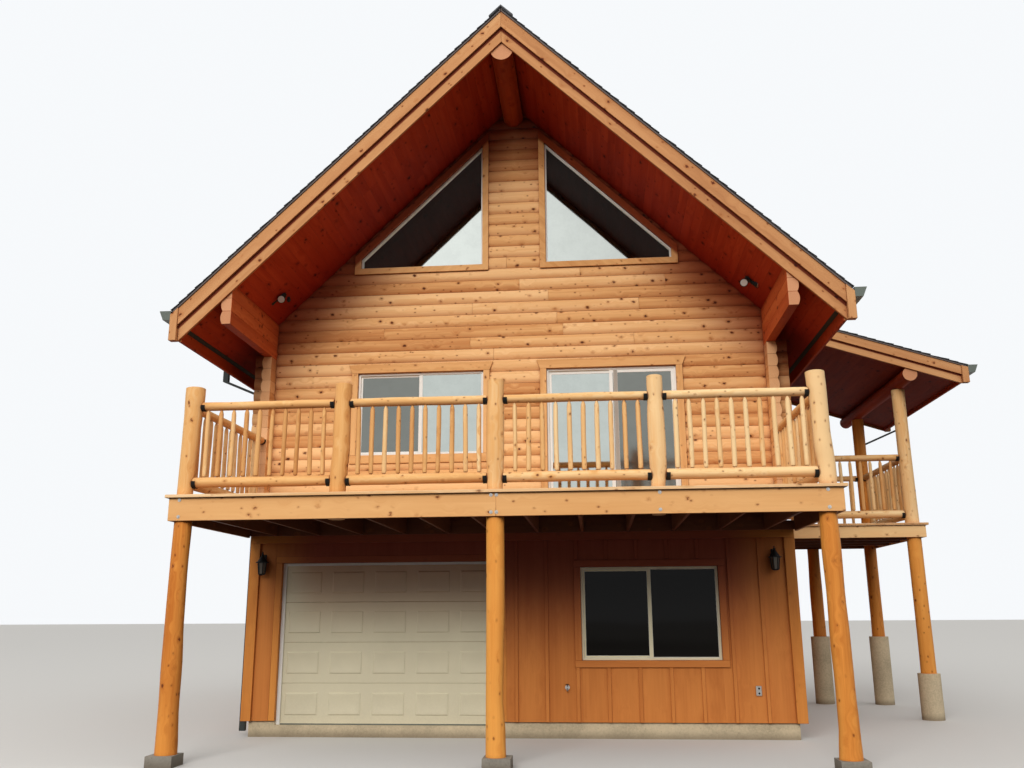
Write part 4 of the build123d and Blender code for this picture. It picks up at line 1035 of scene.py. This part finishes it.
def eave_gap_shadows():
    """Black strips along both eaves, between the soffit boards and the fascias: a painted shadow of the gap
    there.
    """
    low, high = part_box("roof_left")
    p = Piece("eave_gap_shadow_strips", ["black"])
    inner, outer, above, below = 4.108, 4.146, 0.0004, 0.006
    for hand in (-1, 1):
        ring = [(inner, above), (outer, above), (outer, below), (inner, below)]
        outline = [Vector((OX + hand * x, low.y + 0.002, SOFFIT - SLOPE * x - drop)) for x, drop in ring]
        p.prism(outline, (0, high.y - low.y - 0.004, 0))
    p.build("black_metal")


def band(piece, slope, y, run, bottom, top, material):
    """A layer along a slope. bottom and top say how far down it starts and ends, and how deep it lies."""
    apex, down, normal = slope
    (b0, b1, deep), (t0, t1, shallow) = bottom, top
    start = apex + Vector((0, y, 0))
    outline = ((b0, deep), (b1, deep), (t1, shallow), (t0, shallow))
    piece.prism([start + down * s - normal * depth for s, depth in outline], (0, run, 0), material=material)


def shingle_layer(name, node, slope, length, y_margin, bottom, top, strip, short):
    """One slope's underlay, courses and drip edges, in the space of its CAD layer.

    bottom and top say how far the underlay stays back from the ridge and from the eave, strip where the drip
    edges begin, and short how much the courses stay back from the eave.
    """
    p = Piece(name, ["shingle", "felt", "drip"])
    y0, y1 = (corner.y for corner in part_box(node))
    band(p, slope, y0 + y_margin, y1 - y0 - 2 * y_margin, (bottom[0], length - bottom[1], 0.0395),
         (top[0], length - top[1], 0.013), "felt")
    apex, down, normal = slope
    shingle_field(p, (apex - normal * 0.022, down, normal), y0, y1, length - short)
    for y in (y0 + 0.004, y1 - 0.008):
        band(p, slope, y, 0.004, (strip, length - 0.02, 0.046), (strip, length - 0.02, 0.030), "drip")
    p.build("shingle", (node,), smooth=False)


def shingle_field(piece, slope, y0, y1, length):
    """Courses of shingle tabs on one slope, from the eave up."""
    apex, down, normal = slope
    exposed, tab, thick = 0.142, 0.30, 0.020
    for row in range(int(length / exposed) + 1):
        end = length - row * exposed                    # the course's lower edge, measured down the slope
        start = max(0.02, end - exposed * 1.22)
        if end < 0.10:
            break
        y = y0 - rng.uniform(0, tab)
        while y < y1:
            width = tab * rng.choice((0.55, 0.8, 1.0, 1.25))
            a, b = max(y, y0), min(y + width - 0.004, y1)
            y += width
            if b - a < 0.02:
                continue
            lift = thick + rng.choice((0.0, 0.0025, 0.005))
            foot = end + rng.choice((0.0, 0.0, 0.006))
            outline = ((start, 0.006), (foot, lift - 0.007), (foot, lift), (start, 0.010))
            rings = [[apex + Vector((0, side, 0)) + down * s + normal * h for s, h in outline]
                     for side in (a, b)]
            piece.mark(piece.loft(rings)[0], (0, 1, 0))


def ridge_and_porch_shingles():
    low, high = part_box("ridge_cap")
    p = Piece("ridge_cap_shingles", ["shingle"])
    apex = Vector((OX, 0, high.z - 0.012 / CS))
    reach, step = 0.158 / CS, 0.145
    y = low.y
    while y < high.y - 0.02:
        for hand in (-1, 1):
            down, normal = slope_ways(hand)
            rings = []
            for side, lift in ((y, 0.010), (min(y + step * 1.3, high.y), 0.002)):
                base = apex + Vector((0, side, 0))
                edge = base + down * reach
                rings.append([base - UP * 0.013, edge - normal * 0.013, edge + normal * lift,
                              base + UP * (lift / CS)])
            p.mark(p.loft(rings)[0], (0, 1, 0))
        y += step
    p.build("shingle", ("ridge_cap",), smooth=False)

    low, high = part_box("porch_shingles")
    down, normal = slope_ways(1, 1 / 3)
    slope = Vector((low.x, 0, high.z)), down, normal
    shingle_layer("porch_shingle_courses", "porch_shingles", slope, (high.x - low.x) / down.x,
                  y_margin=0.01, bottom=(0.06, 0.016), top=(0.005, 0.003), strip=0.08, short=0.002)


# Posts. Each log's points are a share of its height, its radius there and its middle's x
RAIL_POSTS = [
    [(0, 0.088, -3.640), (0.22, 0.089, -3.639), (0.40, 0.094, -3.632), (0.62, 0.101, -3.621),
     (0.80, 0.106, -3.611), (0.93, 0.115, -3.603), (1, 0.114, -3.601)],
    [(0, 0.092, -1.832), (0.22, 0.093, -1.831), (0.36, 0.099, -1.822), (0.50, 0.098, -1.806),
     (0.68, 0.100, -1.812), (0.82, 0.096, -1.812), (1, 0.099, -1.806)],
    [(0, 0.088, -0.026), (0.22, 0.089, -0.025), (0.32, 0.095, -0.021), (0.46, 0.103, -0.018),
     (0.74, 0.103, -0.016), (0.87, 0.095, -0.018), (1, 0.099, -0.012)],
    [(0, 0.074, 1.794), (0.18, 0.075, 1.795), (0.28, 0.083, 1.810), (0.35, 0.095, 1.804),
     (0.50, 0.098, 1.802), (0.70, 0.096, 1.800), (0.84, 0.086, 1.802), (0.94, 0.091, 1.804),
     (1, 0.090, 1.805)],
    [(0, 0.082, 3.634), (0.17, 0.084, 3.634), (0.22, 0.100, 3.633), (0.34, 0.096, 3.634),
     (0.44, 0.101, 3.615), (0.56, 0.096, 3.606), (0.74, 0.096, 3.605), (0.86, 0.103, 3.600),
     (1, 0.105, 3.594)],
]
DECK_POSTS = [
    [(0, 0.119, -3.622), (0.20, 0.108, -3.632), (0.36, 0.113, -3.634), (0.56, 0.103, -3.641),
     (0.80, 0.099, -3.642), (1, 0.101, -3.634)],
    [(0, 0.108, -0.016), (0.12, 0.104, -0.018), (0.22, 0.093, -0.030), (0.42, 0.096, -0.027),
     (0.60, 0.101, -0.022), (1, 0.102, -0.021)],
    [(0, 0.120, 3.624), (0.12, 0.105, 3.630), (0.28, 0.099, 3.623), (0.46, 0.103, 3.613),
     (0.66, 0.094, 3.609), (0.84, 0.101, 3.607), (1, 0.094, 3.606)],
]
TOP_EASE = 0.004                      # share of a log's height in which its top edge is eased


def profile(points, foot=0.0, bevel=0.012):
    """Smooth rings through a log's points, with middles counted from the foot's x."""
    rings = []
    count = 18
    for k in range(count + 1):
        t = k / count
        (t0, r0, x0), (t1, r1, x1) = next(pair for pair in zip(points, points[1:]) if t <= pair[1][0])
        s = (t - t0) / (t1 - t0)
        s = s * s * (3 - 2 * s)
        rings.append((t, r0 + (r1 - r0) * s, x0 + (x1 - x0) * s - foot))
    _, radius, middle = rings.pop()
    return rings + [(1 - TOP_EASE, radius, middle), (1.0, radius - bevel, middle)]


def post_radii(low, high, seed):
    """Rings of a log that goes from one radius to another in slow waves."""
    r = random.Random(seed)
    phases = [r.uniform(0, 6.28) for _ in range(2)]
    count, bumps = 16, 0.004
    rings = []
    for k in range(count + 1):
        t = k / count
        wave = math.sin(4 * t + phases[0]) + 0.6 * math.sin(9 * t + phases[1])
        rings.append((t, low + (high - low) * t + bumps * wave))
    radius = rings.pop()[1]
    return rings + [(1 - TOP_EASE, radius), (1.0, radius - 0.001)]


def posts():
    for name, node, logs, wood_name, bevel, sides, tones in (
            ("rail_post_logs", "rail_posts", RAIL_POSTS, "post", 0.012, 24, (0.5, 0.25, 0.5, 0.82, 0.95)),
            ("deck_post_logs", "deck_posts", DECK_POSTS, "lower_post", 0.001, 26, (0.05, 0.85, 0.2))):
        p = Piece(name, [wood_name, "log_end"])
        low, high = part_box(node)
        for k, points in enumerate(logs):
            foot = points[0][2]
            p.lathe(H(foot, POST_LINE, low.z + 0.0005), H(foot, POST_LINE, high.z - 0.001),
                    profile(points, foot, bevel), caps="log_end", sides=sides, wobble=0.0022,
                    seed=50 + k + sides, tone=tones[k])
        p.build("post", (node,), angle=40)
    porch_posts()


def porch_posts():
    """The porch's posts, as thick as the CAD's at both ends."""
    p = Piece("porch_post_logs", ["post", "log_end", "lower_post"])
    source = cad_mesh("porch_posts")
    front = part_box("porch_posts")[0].y
    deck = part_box("porch_deck_boards")[0].z
    for k, group in enumerate(list(solids(source))):
        (x0, x1), (y0, y1), (z0, z1) = (span_of(group, axis) for axis in Matrix.Identity(3))
        cx, cy = (x0 + x1) / 2, (y0 + y1) / 2
        points = [v.co for f in group for v in f.verts]
        foot = max(c.x for c in points if c.z < z0 + 0.05) - cx
        head = max(c.x for c in points if c.z > z1 - 0.05) - cx
        lit = cy < front + 0.5 and cx > OX + HALF + 1.0       # the rear posts stand in the porch's shade
        # the shaded rear posts take the darker wood and tone: painted shade
        p.lathe((cx, cy, z0), (cx, cy, z1), post_radii(foot - 0.003, head - 0.002, 80 + k), caps="log_end",
                sides=22, wobble=0.003, seed=90 + k, material="post" if lit else "lower_post",
                tone=0.7 if lit else 0.1)
    source.free()
    below = [f for f in p.bm.faces if f.material_index == 0 and f.calc_center_median().z < deck]
    p.paint(below, "lower_post")              # painted shade: the posts are darker below the deck
    p.build("post", ("porch_posts",), angle=40)


# Railings
BALUSTER_PITCH = 0.156
BALUSTER_FOOT = 0.013                 # radius of a baluster's ends, which sit in the rails


def bracket(piece, end, way, radius):
    """A black saddle under a rail's end."""
    side = way.cross(UP).normalized()
    steps, length = 12, 0.046
    inner, outer = radius + 0.001, radius + 0.007
    section = ((0, inner), (0, outer), (length, outer), (length, inner))
    rings = []
    for k in range(steps + 1):
        angle = math.pi * (0.94 + 1.12 * k / steps)
        out = side * math.cos(angle) + UP * math.sin(angle)
        rings.append([end + way * t + out * r for t, r in section])
    piece.mark(piece.loft(rings)[0], way)


def railing(piece, iron, a, b, gap_a, gap_b, seed, reach_a=None, reach_b=None, count=None, tone=0.6):
    """Two peeled rails and tapered balusters between two post middles.

    The gaps are how far the posts' sides stand from their middles; a reach gives it at a rail's level.
    """
    r = random.Random(seed)
    run = b - a
    step = run.normalized()
    top_z, low_z = 3.982, 3.078
    for z, radius in ((top_z, 0.0515), (low_z, 0.0605)):
        start = a + step * (reach_a(z) if reach_a else gap_a) + UP * z
        end = b - step * (reach_b(z) if reach_b else gap_b) + UP * z
        r.random()                            # goes unused, so that the tones stay as they were chosen
        waves = [(t / 10, radius + 0.0015 * math.sin(t * 1.7 + seed)) for t in range(1, 10)]
        radii = [(0.0, radius - 0.006), (0.006, radius), *waves, (0.994, radius), (1.0, radius - 0.006)]
        piece.lathe(start, end, radii, caps="end", sides=16, wobble=0.0015, seed=seed * 7 + int(z * 10),
                    tone=tone + r.uniform(-0.1, 0.1))
        bracket(iron, start - step * 0.006, step, radius)
        bracket(iron, end + step * 0.006, -step, radius)
    clear = run.length - gap_a - gap_b
    if count is None:
        count = max(1, int((clear - 0.18) / BALUSTER_PITCH) + 1)
    margin = (clear - (count - 1) * BALUSTER_PITCH) / 2
    for k in range(count):
        at = a + step * (gap_a + margin + k * BALUSTER_PITCH)
        lean = Vector((r.uniform(-0.004, 0.004), r.uniform(-0.003, 0.003), 0))
        radius = r.uniform(0.0250, 0.0290)
        radii = [(0, BALUSTER_FOOT), (0.0245, BALUSTER_FOOT), (0.025, radius * 0.90), (0.034, radius * 0.97),
                 (0.09, radius), (0.3, radius + 0.0006), (0.5, radius * 0.985), (0.7, radius + 0.0005),
                 (0.92, radius * 0.98), (0.95, radius * 0.90), (0.975, radius * 0.66), (1, BALUSTER_FOOT)]
        piece.lathe(at + lean + UP * (low_z + 0.050), at - lean + UP * (top_z - 0.045), radii, sides=10,
                    wobble=0.0016, seed=seed * 31 + k, tone=tone + r.uniform(-0.3, 0.2))


def railings():
    iron = Piece("rail_brackets", ["black"])
    middles = [-3.635, -1.8175, 0.0, 1.8175, 3.635]
    low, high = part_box("rail_posts")

    def reach(k, hand):
        """How far a post's side stands from its CAD middle at a level."""
        def at(z):
            share = (z - low.z) / (high.z - low.z)
            _, radius, middle = min(profile(RAIL_POSTS[k]), key=lambda ring: abs(ring[0] - share))
            return radius + hand * (middle - middles[k]) + 0.002
        return at

    front = Piece("front_rail_logs", ["rail", "end"])
    for k, tone in enumerate((0.4, 0.5, 0.65, 0.95)):
        railing(front, iron, H(middles[k], POST_LINE, 0), H(middles[k + 1], POST_LINE, 0), 0.104, 0.104,
                k + 1, reach(k, 1), reach(k + 1, -1), count=10, tone=tone)
    front.build("post", ("deck_front_railing",), angle=45)
    side = Piece("side_rail_logs", ["rail", "end"])
    for hand in (-1, 1):
        railing(side, iron, H(hand * 3.635, POST_LINE, 0), H(hand * 3.588, -0.2108, 0), 0.104, 0.002,
                20 + hand)
    side.build("post", ("deck_side_railings",), angle=45)
    porch = Piece("porch_rail_logs", ["rail", "end"])
    low_corner, high_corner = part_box("porch_railings")
    half_rail = 0.061
    x = high_corner.x - OX - half_rail
    y0, y1 = low_corner.y - OY + half_rail, high_corner.y - OY - half_rail
    for a, b, gap, seed in (((x, y0), (x, y1), 0.114, 31), ((HALF, y0), (x, y0), 0.004, 32),
                            ((HALF, y1), (x, y1), 0.004, 33)):
        railing(porch, iron, H(*a, 0), H(*b, 0), gap, 0.114, seed)
    porch.build("post", ("porch_railings",), angle=45)
    iron.build("black_metal")


# Decks
def planks(start, stop):
    """Both edges of each deck board between two lines."""
    pitch, gap = 0.1445, 0.005
    at = start
    while at < stop - 0.02:
        yield at, min(at + pitch - gap, stop)
        at += pitch


def build_deck(piece, node):
    """The boards' undersides take the dark joist wood: painted shade."""
    piece.bm.normal_update()
    piece.paint([f for f in piece.bm.faces if f.normal.z < -0.8], "joist")
    piece.build("deck", (node,))


def decks():
    def rim_or_joist(node, rim):
        """Rims keep the bright stain; the joists and ledgers inside them are painted dark: painted shade."""
        low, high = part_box(node)

        def choose(c):
            inside = c.y > low.y + 0.1 and low.x + 0.1 < c.x < high.x - 0.1
            return ("joist" if inside else rim), "end"
        return choose

    boards = dress("deck_frame_boards", "deck_frame", ["rim", "end", "joist"], "deck",
                   choose=rim_or_joist("deck_frame", "rim"))
    # the rims' inner faces take the joists' dark wood: painted shade
    for f in boards.data.polygons:            # the rims' inner faces are as dark as the joists
        inward = OX - f.center.x
        if f.normal.y > 0.8 or f.normal.x * inward > 0.8 * abs(inward):
            f.material_index = 2
    dress("porch_frame_boards", "porch_frame", ["porch_rim", "end", "joist"], "deck",
          choose=rim_or_joist("porch_frame", "porch_rim"))

    under, uneven = 0.0005, 0.0008
    low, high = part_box("deck_boards")
    p = Piece("deck_planks", ["board", "end", "joist"])
    for y, y2 in planks(low.y, high.y):
        spans = [(low.x, high.x)]
        if y2 > high.y - 0.22:                # boards stop at the side walls' log ends
            spans = [(low.x, OX - HALF - 0.008), (OX - 3.510, OX + 3.510), (OX + HALF + 0.008, high.x)]
        else:
            joint = OX + rng.uniform(-1.9, 1.9)
            if y > low.y:                     # only the front board is whole
                spans = [(low.x, joint - 0.0015), (joint + 0.0015, high.x)]
        for x, x2 in spans:
            p.box((x, y, low.z + under), (x2, y2, high.z - rng.uniform(0.0, uneven)), along=(1, 0, 0),
                  ends="end", bevel=0.004)
    build_deck(p, "deck_boards")
    low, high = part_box("porch_deck_boards")
    p = Piece("porch_planks", ["board", "end", "joist"])
    for x, x2 in planks(low.x, high.x):
        p.box((x, low.y, low.z + under), (x2, high.y, high.z - rng.uniform(0.0, uneven)), along=(0, 1, 0),
              ends="end", bevel=0.004)
    build_deck(p, "porch_deck_boards")

    p = Piece("rim_bolts", ["bolt"])
    face, washer, head = -2.562, 0.004, 0.013
    for x in (-3.638, -0.055, 0.006, 1.802, 3.597):
        for z in (2.864, 2.675):
            p.rod(H(x, face + 0.001, z), H(x, face - washer, z), 0.020, 0.0195, sides=20)
            p.lathe(H(x, face - washer, z), H(x, face - head, z), [(0, 0.0125), (0.7, 0.0125), (1, 0.010)],
                    sides=6)
    p.build("black_metal", angle=25)


# Lights and fittings
def wall_lanterns():
    """Six-sided lanterns on a wall plate, with a wide brim, a bell-shaped cap and a finial."""
    p = Piece("wall_lanterns", ["black", "lantern_glass"])
    y, cy = -0.001, -0.090                    # the wall's face and the lantern's middle
    foot, brim, tip = 2.135, 2.285, 2.385
    for x in (-3.525, 3.44):
        p.box(H(x - 0.030, y - 0.018, 2.17), H(x + 0.030, y, 2.40), bevel=0.006)
        p.rod(H(x, y - 0.01, 2.33), H(x, cy, 2.36), 0.010, 0.010, sides=10)
        p.rod(H(x, cy, foot), H(x, cy, brim), 0.044, 0.058, material="lantern_glass", sides=6)
        for k in range(6):
            c, s = math.cos(math.pi * k / 3), math.sin(math.pi * k / 3)
            p.rod(H(x + 0.046 * c, cy + 0.046 * s, foot), H(x + 0.061 * c, cy + 0.061 * s, brim), 0.0065,
                  0.0065, sides=6)
        p.lathe(H(x, cy, foot - 0.020), H(x, cy, foot), [(0, 0.014), (0.4, 0.040), (1, 0.052)], sides=16)
        p.lathe(H(x, cy, brim), H(x, cy, brim + 0.014), [(0, 0.084), (0.8, 0.086), (1, 0.080)], sides=24)
        p.lathe(H(x, cy, brim + 0.014), H(x, cy, tip), [(0, 0.066), (0.3, 0.056), (0.6, 0.034), (1, 0.014)],
                sides=20)
        p.lathe(H(x, cy, tip), H(x, cy, tip + 0.05),
                [(0, 0.010), (0.3, 0.019), (0.55, 0.008), (0.8, 0.011), (1, 0.003)], sides=12)
    p.build("black_metal", ("wall_lights",), angle=30)


def floodlights():
    """Two lamp heads and a sensor on a round base under each side of the front overhang."""
    p = Piece("soffit_floodlights", ["black", "lamp"])
    bell = [(0, 0.020), (0.15, 0.030), (0.45, 0.036), (0.8, 0.054), (1, 0.056)]
    heads = {-1: ((-0.012, (0.1, -1.0, -0.42)), (-0.10, (-0.9, -0.1, -0.5))),
             1: ((-0.055, (-0.1, -1.0, -0.42)), (0.06, (0.85, -0.3, -0.5)))}
    x, y = 3.27, -0.60
    for hand in (-1, 1):
        _, normal = slope_ways(hand)
        top = H(hand * x, y, SOFFIT - SLOPE * x) - normal * 0.001
        base = top - normal * 0.028
        p.lathe(top, base, [(0, 0.058), (0.8, 0.056), (1, 0.048)], sides=20)
        for shift, way in heads[hand]:
            elbow = base + Vector((shift, -0.01, -0.030))
            p.rod(base, elbow, 0.012, 0.012, sides=10)
            aim = Vector(way).normalized()
            back = elbow - aim * 0.02
            p.lathe(back, back + aim * 0.115, bell, sides=20)
            p.rod(back + aim * 0.112, back + aim * 0.119, 0.050, 0.045, material="lamp", sides=20)
        sensor = base + Vector((0.075, -0.01, -0.01))
        p.lathe(sensor, sensor + Vector((0.012, -0.03, -0.075)), [(0, 0.020), (0.6, 0.030), (1, 0.018)],
                sides=14)
    p.build("black_metal", angle=35)


def wall_fittings():
    """A hose tap and a covered double socket low on the front wall."""
    p = Piece("wall_fittings", ["bolt", "black"])
    x, z = 0.668, 0.637
    p.rod(H(x, -0.002, z), H(x, -0.010, z), 0.032, 0.030, sides=16)
    p.rod(H(x, -0.010, z), H(x, -0.060, z), 0.011, 0.011, sides=12)
    p.lathe(H(x, -0.052, z + 0.008), H(x, -0.070, z - 0.040), [(0, 0.010), (0.7, 0.010), (1, 0.014)],
            sides=12)
    p.rod(H(x, -0.050, z + 0.012), H(x, -0.050, z + 0.040), 0.005, 0.005, sides=8, material="black")
    p.rod(H(x, -0.050, z + 0.038), H(x, -0.050, z + 0.046), 0.024, 0.022, sides=10, material="black")
    x, z = 3.132, 0.599
    p.box(H(x - 0.036, -0.024, z - 0.062), H(x + 0.036, -0.001, z + 0.062), bevel=0.005)
    for z0, z1 in ((0.006, 0.054), (-0.054, -0.006)):
        p.box(H(x - 0.028, -0.034, z + z0), H(x + 0.028, -0.023, z + z1), bevel=0.004)
    for dz in (-0.030, 0.030):
        p.rod(H(x, -0.033, z + dz), H(x, -0.037, z + dz), 0.014, 0.012, sides=12, material="black")
    p.build("black_metal", angle=30)


bpy.context.scene.view_settings.view_transform = "Standard"
set_camera()
set_world()
set_lamp()
set_floor()
make_woods()
make_others()
log_walls()
lower_storey()
garage_door()
windows()
roof()
ridge_and_porch_shingles()
posts()
railings()
decks()
wall_lanterns()
floodlights()
wall_fittings()
